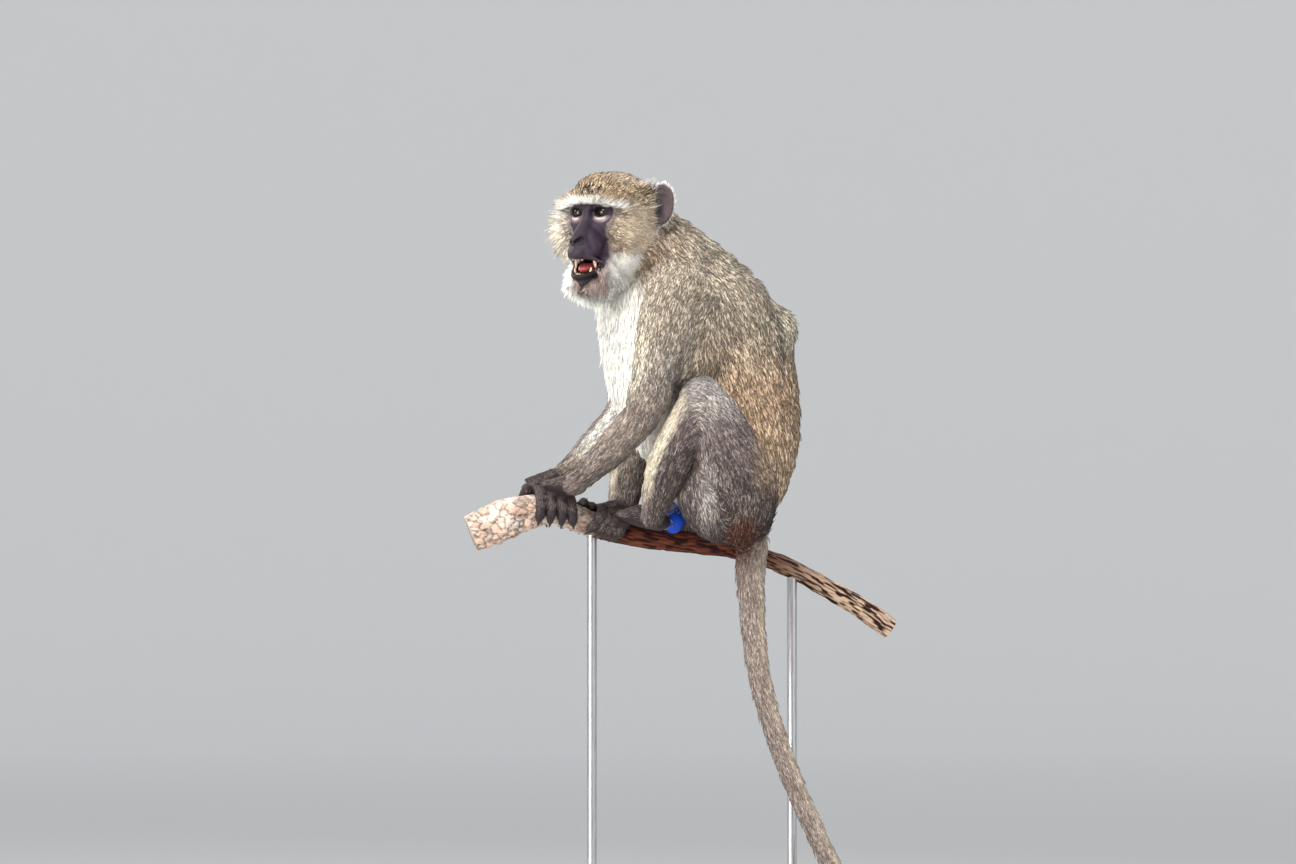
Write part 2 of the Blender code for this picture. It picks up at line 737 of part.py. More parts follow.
def make_foot(name, side):
    """Heel and sole along the top of the perch, toes over its outer side, big toe inside."""
    ball_x = FOOT_REACH[side]
    heel_x = ball_x + HEEL_LENGTH
    ball_middle, ball_bark = perch_at(ball_x)
    heel_middle, heel_bark = perch_at(heel_x)
    heel = Vector((heel_x, side * 0.024, heel_middle.z + heel_bark + 0.0065))
    instep = Vector((heel_x - 0.016, side * 0.022, heel_middle.z + heel_bark + 0.0120))
    knuckles = Vector((ball_x, side * 0.017, ball_middle.z + ball_bark + 0.0045))
    pieces = [loft([Station(*heel, 0.0095, 0.0110), Station(*instep, 0.0120, 0.0125),
                    Station(*instep.lerp(knuckles, 0.6), 0.0085, 0.0130),
                    Station(*knuckles, 0.0062, 0.0125)], side=(0, 1, 0))]
    for i in range(4):
        start = ball_x + 0.008 - TOE_PITCH * i
        pieces.append(digit(start, -0.016, (66 + 4 * i, 32, -4, -30), TOE_RADII, side, 0.001))
    pieces.append(digit(ball_x + 0.016, -0.012, (84, 122, 160), THUMB_RADII, side, 0.001))
    return fuse(name + "_foot", pieces, FINE_VOXEL, 2)


for name, side in SIDES:
    thigh = make_leg(name, side)
    shank = part_at(thigh, name + "_shank", KNEE_CUT_POINT, KNEE_CUT_WAY)
    place(thigh, GREY_COAT, THIGH_TRIANGLES)
    place(shank, GREY_COAT, SHANK_TRIANGLES)
    place(make_foot(name, side), DARK_SKIN, FOOT_TRIANGLES)


# --- Tail -----------------------------------------------------------------------------------------
TAIL = [
    Station(0.060, -0.004, 0.640, 0.0195, 0.0195),
    Station(0.058, -0.022, 0.612, 0.0185, 0.0180),
    Station(0.054, -0.035, 0.575, 0.0160, 0.0155),
    Station(0.056, -0.037, 0.530, 0.0138, 0.0138),
    Station(0.062, -0.039, 0.475, 0.0125, 0.0125),
    Station(0.077, -0.041, 0.420, 0.0118, 0.0118),
    Station(0.098, -0.042, 0.365, 0.0115, 0.0115),
    Station(0.122, -0.042, 0.312, 0.0113, 0.0113),
    Station(0.146, -0.041, 0.262, 0.0111, 0.0111),
    Station(0.163, -0.039, 0.212, 0.0109, 0.0109),
    Station(0.172, -0.037, 0.162, 0.0106, 0.0106),
    Station(0.173, -0.035, 0.114, 0.0098, 0.0098),
    Station(0.168, -0.034, 0.078, 0.0064, 0.0064),
]
tail_base = fuse("tail_base", [loft(TAIL, corners=14)], TAIL_VOXEL, 2)
tail_middle = part_at(tail_base, "tail_middle", (0.070, -0.039, 0.460), (0.3, 0, -1))
tail_tip = part_at(tail_middle, "tail_tip", (0.146, -0.041, 0.272), (0.35, 0, -1))
place(tail_base, GREY_COAT, TAIL_BASE_TRIANGLES)
place(tail_middle, GREY_COAT, TAIL_TRIANGLES)
place(tail_tip, GREY_COAT, TAIL_TRIANGLES)

scrotum = fuse("scrotum", [ball((-0.020, -0.018, 0.630), (0.0120, 0.0120, 0.0150)),
                           ball((-0.012, 0.004, 0.631), (0.0120, 0.0120, 0.0150))],
               FINE_VOXEL, 2)
place(scrotum, BLUE_SKIN, SCROTUM_TRIANGLES)


# --- Neck and trunk ---------------------------------------------------------------------------------
@dataclass(frozen=True)
class Rib:
    """One section of the trunk, from a point on the belly to one on the back, both on the middle."""

    belly_x: float
    belly_z: float
    back_x: float
    back_z: float
    width: float

    def station(self):
        return Station((self.belly_x + self.back_x) / 2, 0, (self.belly_z + self.back_z) / 2,
                       math.hypot(self.belly_x - self.back_x, self.belly_z - self.back_z) / 2,
                       self.width)


RIBS = [
    Rib(-0.084, 0.912, -0.036, 0.950, 0.033),
    Rib(-0.093, 0.880, -0.007, 0.931, 0.041),
    Rib(-0.097, 0.850, 0.027, 0.905, 0.051),
    Rib(-0.098, 0.824, 0.059, 0.876, 0.059),
    Rib(-0.096, 0.800, 0.087, 0.844, 0.064),
    Rib(-0.089, 0.773, 0.108, 0.809, 0.066),
    Rib(-0.076, 0.745, 0.115, 0.774, 0.066),
    Rib(-0.056, 0.714, 0.119, 0.740, 0.066),
    Rib(-0.034, 0.684, 0.114, 0.706, 0.067),
    Rib(-0.014, 0.660, 0.101, 0.678, 0.064),
    Rib(0.004, 0.640, 0.082, 0.652, 0.056),
    Rib(0.012, 0.624, 0.072, 0.632, 0.043),
]


def make_trunk():
    masses = [loft([rib.station() for rib in RIBS], corners=28)]
    masses.append(ball((0.090, 0.000, 0.822), (0.020, 0.028, 0.024)))       # hump of the back
    for _, side in SIDES:
        masses.append(ball((0.032, side * 0.030, 0.842), (0.046, 0.030, 0.040), (0, 35, 0)))
    return fuse("neck", masses, TRUNK_VOXEL, 3)


neck = make_trunk()
chest = part_at(neck, "chest", (-0.026, 0, 0.868), (0.45, 0, -1))
loins = part_at(chest, "loins", (0.030, 0, 0.752), (0.35, 0, -1))
place(neck, OLIVE_COAT, NECK_TRIANGLES)
place(chest, OLIVE_COAT, CHEST_TRIANGLES)
place(loins, OLIVE_COAT, LOINS_TRIANGLES)

for helper in list(helpers.objects):
    bpy.data.objects.remove(helper)
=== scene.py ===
"""The looks of a life-size vervet monkey that sits on a cut branch over a plain display stand.

Everything is in metres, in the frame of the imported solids: +Z is up, the monkey faces -X and its
left side lies towards -Y. The animal is made the way a museum makes one. Masses of clay give one
seamless skin, eyes, teeth and tongue are set into it, and the coat is laid over it lock by lock.
"""

import itertools
import logging
import math
from dataclasses import dataclass, field
from enum import Enum

import bpy
import numpy as np
from mathutils import Euler, Matrix, Vector


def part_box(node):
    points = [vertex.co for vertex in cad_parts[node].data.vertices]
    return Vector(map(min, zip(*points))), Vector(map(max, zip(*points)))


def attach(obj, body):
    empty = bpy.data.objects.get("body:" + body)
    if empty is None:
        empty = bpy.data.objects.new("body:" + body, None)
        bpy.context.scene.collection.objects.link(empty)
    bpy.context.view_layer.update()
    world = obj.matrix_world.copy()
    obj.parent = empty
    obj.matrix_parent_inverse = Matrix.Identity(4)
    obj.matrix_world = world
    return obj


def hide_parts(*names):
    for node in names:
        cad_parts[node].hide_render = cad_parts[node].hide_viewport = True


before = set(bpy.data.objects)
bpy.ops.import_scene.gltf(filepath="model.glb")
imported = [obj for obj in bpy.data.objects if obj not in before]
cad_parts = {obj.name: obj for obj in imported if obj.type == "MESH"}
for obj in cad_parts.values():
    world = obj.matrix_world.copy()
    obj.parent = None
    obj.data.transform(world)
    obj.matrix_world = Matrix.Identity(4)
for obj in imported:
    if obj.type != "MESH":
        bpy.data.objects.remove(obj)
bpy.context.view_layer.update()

Array = np.ndarray
Triple = tuple[float, float, float]
Stations = tuple[tuple[float, ...], ...]
Socket = bpy.types.NodeSocket
Material = bpy.types.Material
Thing = bpy.types.Object
LOG = logging.getLogger("vervet")
MM = 0.001
FAR = 1.0               # a distance that stands for "nowhere near"
SEED = 20260
CORE = np.array((0.0, 0.0, 0.78))        # the middle of the body
ROOT = "root"
LEFT, RIGHT = -1, 1     # the left side of the body lies towards -Y
SIDE_NAMES = {LEFT: "left", RIGHT: "right"}


# --- Numbers ---
def srgb(red: float, green: float, blue: float) -> Triple:
    """A colour as the eye sees it, as the linear light that a shader takes."""
    return tuple(c / 12.92 if c < 0.04045 else ((c + 0.055) / 1.055) ** 2.4
                 for c in (red, green, blue))


def step(low: float | Array, high: float | Array, value: Array) -> Array:
    """A smooth step.

    Args:
        low: Where it is 0. It may be above high, which turns the step round.
        high: Where it is 1.
        value: Where it is wanted.

    Returns:
        Shares from 0 to 1.
    """
    share = np.clip((value - low) / (high - low), 0, 1)
    return share * share * (3 - 2 * share)


def mix(one: Array, other: Array, share: Array) -> Array:
    """Blends numbers or rows of colours.

    Args:
        one: What is left where share is 0.
        other: What is left where it is 1.
        share: Shares from 0 to 1, one to a place.

    Returns:
        The blend.
    """
    if np.shape(other)[-1:] == (3,):
        share = share[:, None]
    return one + (other - one) * share


def patch(places: Array, middle: Triple, radii: Triple) -> Array:
    """A soft round patch: 1 at its middle, and fading over its radii."""
    return np.exp(-(((places - middle) / radii)**2).sum(axis=1))


def unit(vectors: Array) -> Array:
    """Vectors at length 1."""
    return vectors / np.maximum(np.linalg.norm(vectors, axis=-1, keepdims=True), 1e-9)


def flat_on(normals: Array, vectors: Array) -> Array:
    """Vectors without what stands out along unit normals."""
    return vectors - (vectors * normals).sum(axis=1, keepdims=True) * normals


def scatter(keys: Array) -> Array:
    """Turns whole numbers into even-looking shares from 0 to 1."""
    mixed = keys & 0xFFFFFFFF
    mixed = ((mixed ^ (mixed >> 15)) * 0x2C1B3C6D) & 0xFFFFFFFF
    mixed = ((mixed ^ (mixed >> 12)) * 0x297A2D39) & 0xFFFFFFFF
    return ((mixed ^ (mixed >> 15)) & 0xFFFFFF) / 0x1000000


def cell_keys(cells: Array, seed: int) -> Array:
    """A whole number for each cell of space."""
    return cells @ np.array((73856093, 19349663, 83492791)) + seed * 7919


def drift(points: Array, cell: float, seed: int) -> Array:
    """Smooth noise in space.

    Args:
        points: Places, one to a row.
        cell: How far apart its waves are.
        seed: A number for another pattern.

    Returns:
        A number from -1 to 1 for each place.
    """
    scaled = points / cell
    base = np.floor(scaled).astype(np.int64)
    share = scaled - base
    share = share * share * (3 - 2 * share)
    total = np.zeros(len(points))
    for corner in itertools.product((0, 1), repeat=3):
        weight = np.prod(np.where(corner, share, 1 - share), axis=1)
        total += weight * scatter(cell_keys(base + np.array(corner), seed))
    return total * 2 - 1


def plates(points: Array, cell: float, seed: int) -> tuple[Array, Array]:
    """Irregular flakes in space.

    Args:
        points: Places, one to a row.
        cell: How wide a flake is.
        seed: A number for another pattern.

    Returns:
        A chance from 0 to 1 for the flake at each place, and how far from its rim it is.
    """
    scaled = points / cell
    base = np.floor(scaled).astype(np.int64)
    best, second = np.full(len(points), 9.0), np.full(len(points), 9.0)
    chance = np.zeros(len(points))
    for corner in itertools.product((-1, 0, 1), repeat=3):
        place = base + np.array(corner)
        keys = cell_keys(place, seed)
        spot = place + np.stack([scatter(keys + 15485863 * k) for k in (1, 2, 3)], axis=1)
        gap = np.linalg.norm(scaled - spot, axis=1)
        near = gap < best
        second = np.where(near, best, np.minimum(second, gap))
        chance = np.where(near, scatter(keys + 32452843), chance)
        best = np.where(near, gap, best)
    return chance, second - best


def curve_between(rows: Array, steps: int) -> Array:
    """A smooth curve through rows of numbers.

    Args:
        rows: Points with whatever belongs to them, one to a row.
        steps: How many spans each given span becomes.

    Returns:
        The same with steps - 1 rows more in each span.
    """
    padded = np.vstack([rows[:1], rows, rows[-1:]])
    made = []
    for i, k in itertools.product(range(1, len(padded) - 2), range(steps)):
        before, start, end, after = padded[i - 1:i + 3]
        t = k / steps
        made.append(0.5 * (2 * start + (end - before) * t
                           + (2 * before - 5 * start + 4 * end - after) * t**2
                           + (3 * start - before - 3 * end + after) * t**3))
    return np.array([*made, rows[-1]])


def gap_to(places: Array, line: Stations, steps: int = 5) -> Array:
    """How far places are from a smooth curve through points."""
    curve = curve_between(np.array(line), steps)
    return np.min([np.linalg.norm(places - point, axis=1) for point in curve], axis=0)


# --- The head's own frame: +X out of the face, +Y to its left, +Z up, from between the eyes ---
HEAD_YAW = math.radians(43)
EYES_MIDDLE = Vector((-0.113, -0.050, 0.936))
HEAD = Matrix.Translation(EYES_MIDDLE) @ Matrix((
    (-math.cos(HEAD_YAW), math.sin(HEAD_YAW), 0, 0),
    (-math.sin(HEAD_YAW), -math.cos(HEAD_YAW), 0, 0),
    (0, 0, 1, 0),
    (0, 0, 0, 1),
))
HEAD_TURN = np.array(HEAD.to_3x3())
WORLD = Matrix.Identity(4)


def in_head(points: Array) -> Array:
    """World places as the head's own, in millimetres."""
    return (points - np.array(EYES_MIDDLE)) @ HEAD_TURN / MM


def from_head(points: Array) -> Array:
    """The head's own places, in millimetres, as world places."""
    return np.asarray(points, float) * MM @ HEAD_TURN.T + np.array(EYES_MIDDLE)


# --- Clay ---
class Zone(Enum):
    """A part of the body whose skin and coat are alike."""

    HEAD = 0
    EAR = 1
    NECK = 2
    TRUNK = 3
    UPPER_ARM = 4
    FOREARM = 5
    HAND = 6
    THIGH = 7
    SHANK = 8
    FOOT = 9
    TAIL = 10
    SCROTUM = 11


class Ball:
    """An ellipsoid of clay."""

    def __init__(self, zone: Zone, middle: Triple, radii: Triple, turn: Triple = (0, 0, 0),
                 place: Matrix = WORLD, blend: float = 0.006) -> None:
        """Sets it in place.

        Args:
            zone: What part of the body it is.
            middle: Its middle, in the frame of place.
            radii: Its half sizes.
            turn: Its turn in degrees.
            place: A frame that it is given in.
            blend: How softly it melts into its neighbours.
        """
        spin = place.to_3x3() @ Euler([math.radians(a) for a in turn]).to_matrix()
        self.zone, self.blend = zone, blend
        self.middle = np.array(place @ Vector(middle), np.float32)
        self.axes = np.array(spin, np.float32)
        self.radii = np.array(radii, np.float32)

    def box(self) -> tuple[Array, Array]:
        """Its lowest and highest corners."""
        reach = np.sqrt(((self.axes * self.radii) ** 2).sum(axis=1))
        return self.middle - reach, self.middle + reach

    def distance(self, points: Array) -> Array:
        """How far places are outside it."""
        local = (points - self.middle) @ self.axes
        near = np.linalg.norm(local / self.radii, axis=-1)
        slope = np.linalg.norm(local / self.radii**2, axis=-1)
        return near * (near - 1) / np.maximum(slope, 1e-6)

    def flow(self, points: Array) -> Array:
        """It has no lie of its own."""
        return np.zeros_like(points)


class Limb:
    """A tapered limb of clay, elliptical across, along stations from its root to its end."""

    def __init__(self, zone: Zone, stations: list[tuple[float, ...]], side: Triple = (0, 1, 0),
                 coat: float = 0.0, steps: int = 3, blend: float = 0.006) -> None:
        """Lays it.

        Args:
            zone: What part of the body it is.
            stations: x, y, z, half depth and half width of each section.
            side: The direction of the widths.
            coat: How much of the half sizes is coat, which is left off.
            steps: How finely it bends.
            blend: How softly it melts into its neighbours.
        """
        rows = curve_between(np.array(stations, float), steps).astype(np.float32)
        rows[:, 3:] -= coat
        self.zone, self.blend, self.rows = zone, blend, rows
        self.side = np.array(side, np.float32)

    def box(self) -> tuple[Array, Array]:
        """Its lowest and highest corners."""
        reach = self.rows[:, 3:].max(axis=1)[:, None]
        return (self.rows[:, :3] - reach).min(axis=0), (self.rows[:, :3] + reach).max(axis=0)

    def span(self, points: Array, i: int) -> tuple[Array, Array, Array]:
        """Where places are beside one of its spans.

        Args:
            points: The places.
            i: Which span.

        Returns:
            The distance, the share in depth from -1 to 1, and the direction.
        """
        start, end = self.rows[i], self.rows[i + 1]
        way = end[:3] - start[:3]
        length = float(np.linalg.norm(way))
        along = way / length
        across = self.side - (self.side @ along) * along
        across = across / np.linalg.norm(across)
        deep = np.cross(along, across)
        local = points - start[:3]
        run = np.clip(local @ along / length, 0, 1)
        depth = start[3] + (end[3] - start[3]) * run
        width = start[4] + (end[4] - start[4]) * run
        local = local - run[..., None] * way
        end_radius = np.minimum(depth, width)
        ratio = np.stack([local @ along / end_radius, local @ across / width,
                          local @ deep / depth], axis=-1)
        near = np.linalg.norm(ratio, axis=-1)
        slope = np.linalg.norm(ratio / np.stack([end_radius, width, depth], axis=-1), axis=-1)
        return near * (near - 1) / np.maximum(slope, 1e-6), ratio[..., 2], along

    def distance(self, points: Array) -> Array:
        """How far places are outside it."""
        best = np.full(points.shape[:-1], FAR, np.float32)
        for i in range(len(self.rows) - 1):
            best = np.minimum(best, self.span(points, i)[0])
        return best

    def survey(self, points: Array) -> tuple[Array, Array]:
        """Reads the nearest span.

        Args:
            points: Places, one to a row.

        Returns:
            The share in depth from -1 to 1, and the lie, at each place.
        """
        best, deep, lie = np.full(len(points), FAR), np.zeros(len(points)), np.zeros_like(points)
        for i in range(len(self.rows) - 1):
            gap, depth, along = self.span(points, i)
            nearer = gap < best
            best[nearer], deep[nearer], lie[nearer] = gap[nearer], depth[nearer], along
        return deep, lie

    def flow(self, points: Array) -> Array:
        """The direction towards its end, at each place."""
        return self.survey(points)[1]


Mass = Ball | Limb


def soft_least(one: Array, other: Array, blend: float) -> Array:
    """The lesser of two fields, with the crease between them filled."""
    overlap = np.maximum(blend - np.abs(one - other), 0) / blend
    return np.minimum(one, other) - overlap * overlap * blend * 0.25


@dataclass
class Clay:
    """A field of distances to the animal's skin on a graded grid, less than 0 inside."""

    axes: list[Array]
    values: Array = field(init=False)

    def __post_init__(self) -> None:
        """Starts with nothing."""
        self.values = np.full([len(a) for a in self.axes], FAR, np.float32)

    def window(self, mass: Mass, reach: float) -> tuple[tuple[slice, ...], Array]:
        """The part of the grid that a mass touches.

        Args:
            mass: The mass.
            reach: How far past the mass it goes.

        Returns:
            The slices, and the places in them.
        """
        low, high = mass.box()
        cut = tuple(slice(int(np.searchsorted(a, low[i] - reach)),
                          int(np.searchsorted(a, high[i] + reach)))
                    for i, a in enumerate(self.axes))
        places = np.meshgrid(*[a[c] for a, c in zip(self.axes, cut)], indexing="ij")
        return cut, np.stack(places, axis=-1)

    def add(self, masses: list[Mass], sign: float = 1.0) -> None:
        """Melts masses on, or hollows them out.

        Args:
            masses: The masses, in order.
            sign: -1 hollows them out.
        """
        for mass in masses:
            cut, places = self.window(mass, mass.blend + 0.008)
            melted = soft_least(sign * self.values[cut], mass.distance(places), mass.blend)
            self.values[cut] = sign * melted

    def carve(self, masses: list[Mass]) -> None:
        """Hollows masses out."""
        self.add(masses, sign=-1.0)

    def surface(self) -> tuple[Array, Array]:
        """The skin, as a net with one point in each cell that it passes through.

        Returns:
            The points, and the four-sided faces.
        """
        solid = self.values < 0
        parts = [tuple(slice(c, n - 1 + c) for c, n in zip(corner, solid.shape))
                 for corner in itertools.product((0, 1), repeat=3)]
        filled = sum(solid[part].astype(np.uint8) for part in parts)
        crossed = (filled > 0) & (filled < len(parts))
        number = np.full(crossed.shape, -1, np.int32)
        cells = np.argwhere(crossed)
        number[crossed] = np.arange(len(cells))
        total, hits = np.zeros((len(cells), 3)), np.zeros(len(cells))
        for corner, axis in itertools.product(itertools.product((0, 1), repeat=3), range(3)):
            if corner[axis]:
                continue
            near = cells + corner
            far = near + np.eye(3, dtype=int)[axis]
            here, there = self.values[tuple(near.T)], self.values[tuple(far.T)]
            hit = (here < 0) != (there < 0)
            share = (here / np.where(hit, here - there, 1))[:, None]
            start = np.stack([a[near[:, i]] for i, a in enumerate(self.axes)], axis=1)
            end = np.stack([a[far[:, i]] for i, a in enumerate(self.axes)], axis=1)
            total[hit] += (start + (end - start) * share)[hit]
            hits += hit
        faces = [self.faces_across(solid, number, axis) for axis in range(3)]
        return total / hits[:, None], np.concatenate(faces)

    @staticmethod
    def faces_across(solid: Array, number: Array, axis: int) -> Array:
        """The faces that stand across the grid's edges along one axis.

        Args:
            solid: Which places of the grid are inside.
            number: The number of the skin's point in each cell, or -1.
            axis: The axis.

        Returns:
            Four-sided faces that look outwards.
        """
        near = np.take(solid, range(solid.shape[axis] - 1), axis)
        far = np.take(solid, range(1, solid.shape[axis]), axis)
        edges = np.argwhere(near != far)
        others = [i for i in range(3) if i != axis]
        edges = edges[(edges[:, others] > 0).all(axis=1)]
        edges = edges[(edges[:, others] < np.array(number.shape)[others]).all(axis=1)]
        first, second = np.eye(3, dtype=int)[others]
        ring = [edges, edges - first, edges - first - second, edges - second]
        faces = np.stack([number[tuple(r.T)] for r in ring], axis=1)
        inside_first = solid[tuple(edges.T)] == (axis == 1)
        faces[inside_first] = faces[inside_first][:, ::-1]
        return faces[(faces >= 0).all(axis=1)]


def graded_axis(low: float, high: float, coarse: float, fine: list[tuple[float, float, float]]
                ) -> Array:
    """Places along an axis of the grid.

    Args:
        low: The first.
        high: Where they end.
        coarse: How far apart they are.
        fine: Start, end and spacing of each closer stretch.

    Returns:
        The places.
    """
    places = [low]
    while places[-1] < high:
        near = [gap for start, end, gap in fine if start <= places[-1] < end]
        places.append(places[-1] + min([coarse, *near]))
    return np.array(places, np.float32)


# --- Meshes ---
def mesh_object(name: str, points: Array, faces: Array | list) -> Thing:
    """Makes an object with smooth shading.

    Args:
        name: Its name.
        points: Its points, one to a row.
        faces: Its faces, as an even array or as a list of lists.

    Returns:
        The object, in the scene.
    """
    mesh = bpy.data.meshes.new(name)
    if isinstance(faces, np.ndarray):
        mesh.vertices.add(len(points))
        mesh.vertices.foreach_set("co", np.ascontiguousarray(points, np.float32).ravel())
        mesh.loops.add(faces.size)
        mesh.loops.foreach_set("vertex_index", faces.astype(np.int32).ravel())
        mesh.polygons.add(len(faces))
        starts = np.arange(0, faces.size, faces.shape[1], dtype=np.int32)
        mesh.polygons.foreach_set("loop_start", starts)
    else:
        mesh.from_pydata([tuple(p) for p in points], [], faces)
    mesh.update(calc_edges=True)
    mesh.shade_smooth()
    made = bpy.data.objects.new(name, mesh)
    bpy.context.scene.collection.objects.link(made)
    return made


def set_tone(thing: Thing, name: str, colours: Array) -> None:
    """Gives each point a colour, under a name that a finish reads."""
    rows = np.ones((len(colours), 4), np.float32)
    rows[:, :3] = colours
    thing.data.color_attributes.new(name, "FLOAT_COLOR", "POINT").data.foreach_set(
        "color", rows.ravel())


def set_number(thing: Thing, name: str, numbers: Array) -> None:
    """Gives each point a number, under a name that a finish reads."""
    thing.data.attributes.new(name, "FLOAT", "POINT").data.foreach_set(
        "value", np.ascontiguousarray(numbers, np.float32))


def full_turn(count: int) -> Array:
    """Even angles once round."""
    return np.linspace(0, 2 * math.pi, count, endpoint=False)


def tube_mesh(rings: list[Array], closed: bool = True) -> tuple[Array, list[list[int]]]:
    """A skin over rings of points.

    Args:
        rings: The rings, each with as many points as the next.
        closed: Whether it has flat ends.

    Returns:
        Its points and faces.
    """
    count = len(rings[0])
    faces = []
    for i, k in itertools.product(range(len(rings) - 1), range(count)):
        nxt = (k + 1) % count
        faces.append([i * count + k, i * count + nxt, (i + 1) * count + nxt, (i + 1) * count + k])
    if closed:
        faces.append(list(range(count))[::-1])
        faces.append(list(range((len(rings) - 1) * count, len(rings) * count)))
    return np.vstack(rings), faces


def joined(tubes: list[list[Array]]) -> tuple[Array, list[list[int]]]:
    """Tubes, each given as its rings, as one set of points and faces."""
    points, faces = [], []
    for rings in tubes:
        some, around = tube_mesh(rings)
        faces += [[i + len(points) for i in face] for face in around]
        points += list(some)
    return np.array(points), faces


def set_in(thing: Thing, slot: str, finish: Material, *replaced: str) -> None:
    """Dresses a piece and ties it to the frame.

    Args:
        thing: The piece.
        slot: The record's material slot; it is not used.
        finish: Its material.
        replaced: The nodes that it stands for.
    """
    thing.data.materials.clear()
    thing.data.materials.append(finish)
    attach(thing, ROOT)
    if replaced:
        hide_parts(*replaced)
    LOG.info("%s: %d faces", thing.name, len(thing.data.polygons))


# --- Finishes ---
class Recipe:
    """A material's nodes while they are being set up."""

    def __init__(self, name: str) -> None:
        """Starts a material with one shader."""
        self.material = bpy.data.materials.new(name)
        self.material.use_nodes = True
        self.tree = self.material.node_tree
        self.shader = self.tree.nodes["Principled BSDF"]

    def node(self, kind: str, sockets: dict[str | int, object], **settings: object
             ) -> bpy.types.Node:
        """Adds a node.

        Args:
            kind: Its type, without ShaderNode.
            sockets: What each socket holds: a value, or another node's socket to join it to.
            settings: Its properties.

        Returns:
            The node.
        """
        made = self.tree.nodes.new("ShaderNode" + kind)
        for name, value in settings.items():
            setattr(made, name, value)
        for name, value in sockets.items():
            if isinstance(value, Socket):
                self.tree.links.new(value, made.inputs[name])
            else:
                made.inputs[name].default_value = value
        return made

    def attribute(self, name: str, kind: str = "Fac") -> Socket:
        """What a mesh carries under a name: Fac for a number, Color for a colour."""
        return self.node("Attribute", {}, attribute_name=name).outputs[kind]

    def noise(self, scale: float, detail: float = 3.0, rough: float = 0.6,
              stretch: Triple = (1, 1, 1)) -> Socket:
        """Noise over the object's own coordinates.

        Args:
            scale: Waves to a metre.
            detail: How many octaves it has.
            rough: How strong the finer ones are.
            stretch: How much closer its waves are along each axis.

        Returns:
            The socket with its strength.
        """
        spot = self.node("TexCoord", {}).outputs["Object"]
        sized = self.node("Mapping", {"Vector": spot, "Scale": stretch}).outputs["Vector"]
        return self.node("TexNoise", {"Vector": sized, "Scale": scale, "Detail": detail,
                                      "Roughness": rough}).outputs["Fac"]

    def cells(self, scale: float) -> Socket:
        """The distance to the nearest of scattered points, for pores and scales."""
        spot = self.node("TexCoord", {}).outputs["Object"]
        return self.node("TexVoronoi", {"Vector": spot, "Scale": scale}).outputs["Distance"]

    def ramp(self, source: Socket, stops: list[tuple[float, Triple]]) -> Socket:
        """Turns a number into a colour.

        Args:
            source: The number.
            stops: Places from 0 to 1, and the colour at each.

        Returns:
            The socket with the colour.
        """
        made = self.node("ValToRGB", {"Fac": source})
        bar = made.color_ramp
        while len(bar.elements) < len(stops):
            bar.elements.new(0.5)
        for element, (place, colour) in zip(bar.elements, stops):
            element.position = place
            element.color = (*colour, 1)
        return made.outputs["Color"]

    def between(self, source: Socket, low: float, high: float) -> Socket:
        """Brings a number from 0..1 to low..high."""
        return self.node("MapRange", {"Value": source, "To Min": low, "To Max": high}
                         ).outputs["Result"]

    def times(self, colour: Socket, number: Socket) -> Socket:
        """A colour made lighter or darker by a number."""
        return self.node("VectorMath", {0: colour, "Scale": number}, operation="SCALE"
                         ).outputs["Vector"]

    def bump(self, source: Socket, height: float, strength: float) -> None:
        """Raises the surface, over what raises it already.

        Args:
            source: A number from 0 to 1.
            height: How high 1 is, in metres.
            strength: How much of it shows.
        """
        below = self.shader.inputs["Normal"]
        sockets = {"Height": source, "Distance": height, "Strength": strength}
        if below.is_linked:
            sockets["Normal"] = below.links[0].from_socket
        self.tree.links.new(self.node("Bump", sockets).outputs["Normal"], below)

    def colour(self, source: Socket) -> None:
        """Sets the colour."""
        self.tree.links.new(source, self.shader.inputs["Base Color"])

    def rough(self, source: Socket) -> None:
        """Sets the roughness."""
        self.tree.links.new(source, self.shader.inputs["Roughness"])

    def fixed(self, **values: float) -> None:
        """Sets sockets that are the same all over, with _ for a space in their names."""
        for name, value in values.items():
            self.shader.inputs[name.replace("_", " ")].default_value = value


@dataclass(frozen=True)
class FurFinish:
    """The coat: each lock carries its own colours, and its strands vary along it."""

    strands: float = 900.0
    roughness: tuple[float, float] = (0.50, 0.75)
    bands: tuple[tuple[float, float], ...] = (      # place along a hair, and how light it is there
        (0.0, 0.50), (0.30, 0.55), (0.46, 1.15), (0.62, 1.20), (0.72, 0.46), (0.84, 0.50),
        (0.93, 1.30), (1.0, 1.40))

    def make(self) -> Material:
        """Makes the material."""
        made = Recipe("coat_fur")
        rings = made.ramp(made.attribute("along"),
                          [(place, (light,) * 3) for place, light in self.bands])
        ticked = made.node("Mix", {0: made.attribute("tick"), 6: (1, 1, 1, 1), 7: rings},
                           data_type="RGBA")
        toned = made.node("VectorMath", {0: made.attribute("tone", "Color"), 1: ticked.outputs[2]},
                          operation="MULTIPLY")
        streak = made.noise(self.strands, 2.0, 0.7)
        made.colour(made.times(toned.outputs["Vector"], made.between(streak, 0.76, 1.24)))
        made.rough(made.between(streak, *self.roughness))
        made.fixed(Specular_IOR_Level=0.25, Sheen_Weight=0.08, Sheen_Roughness=0.5)
        return made.material


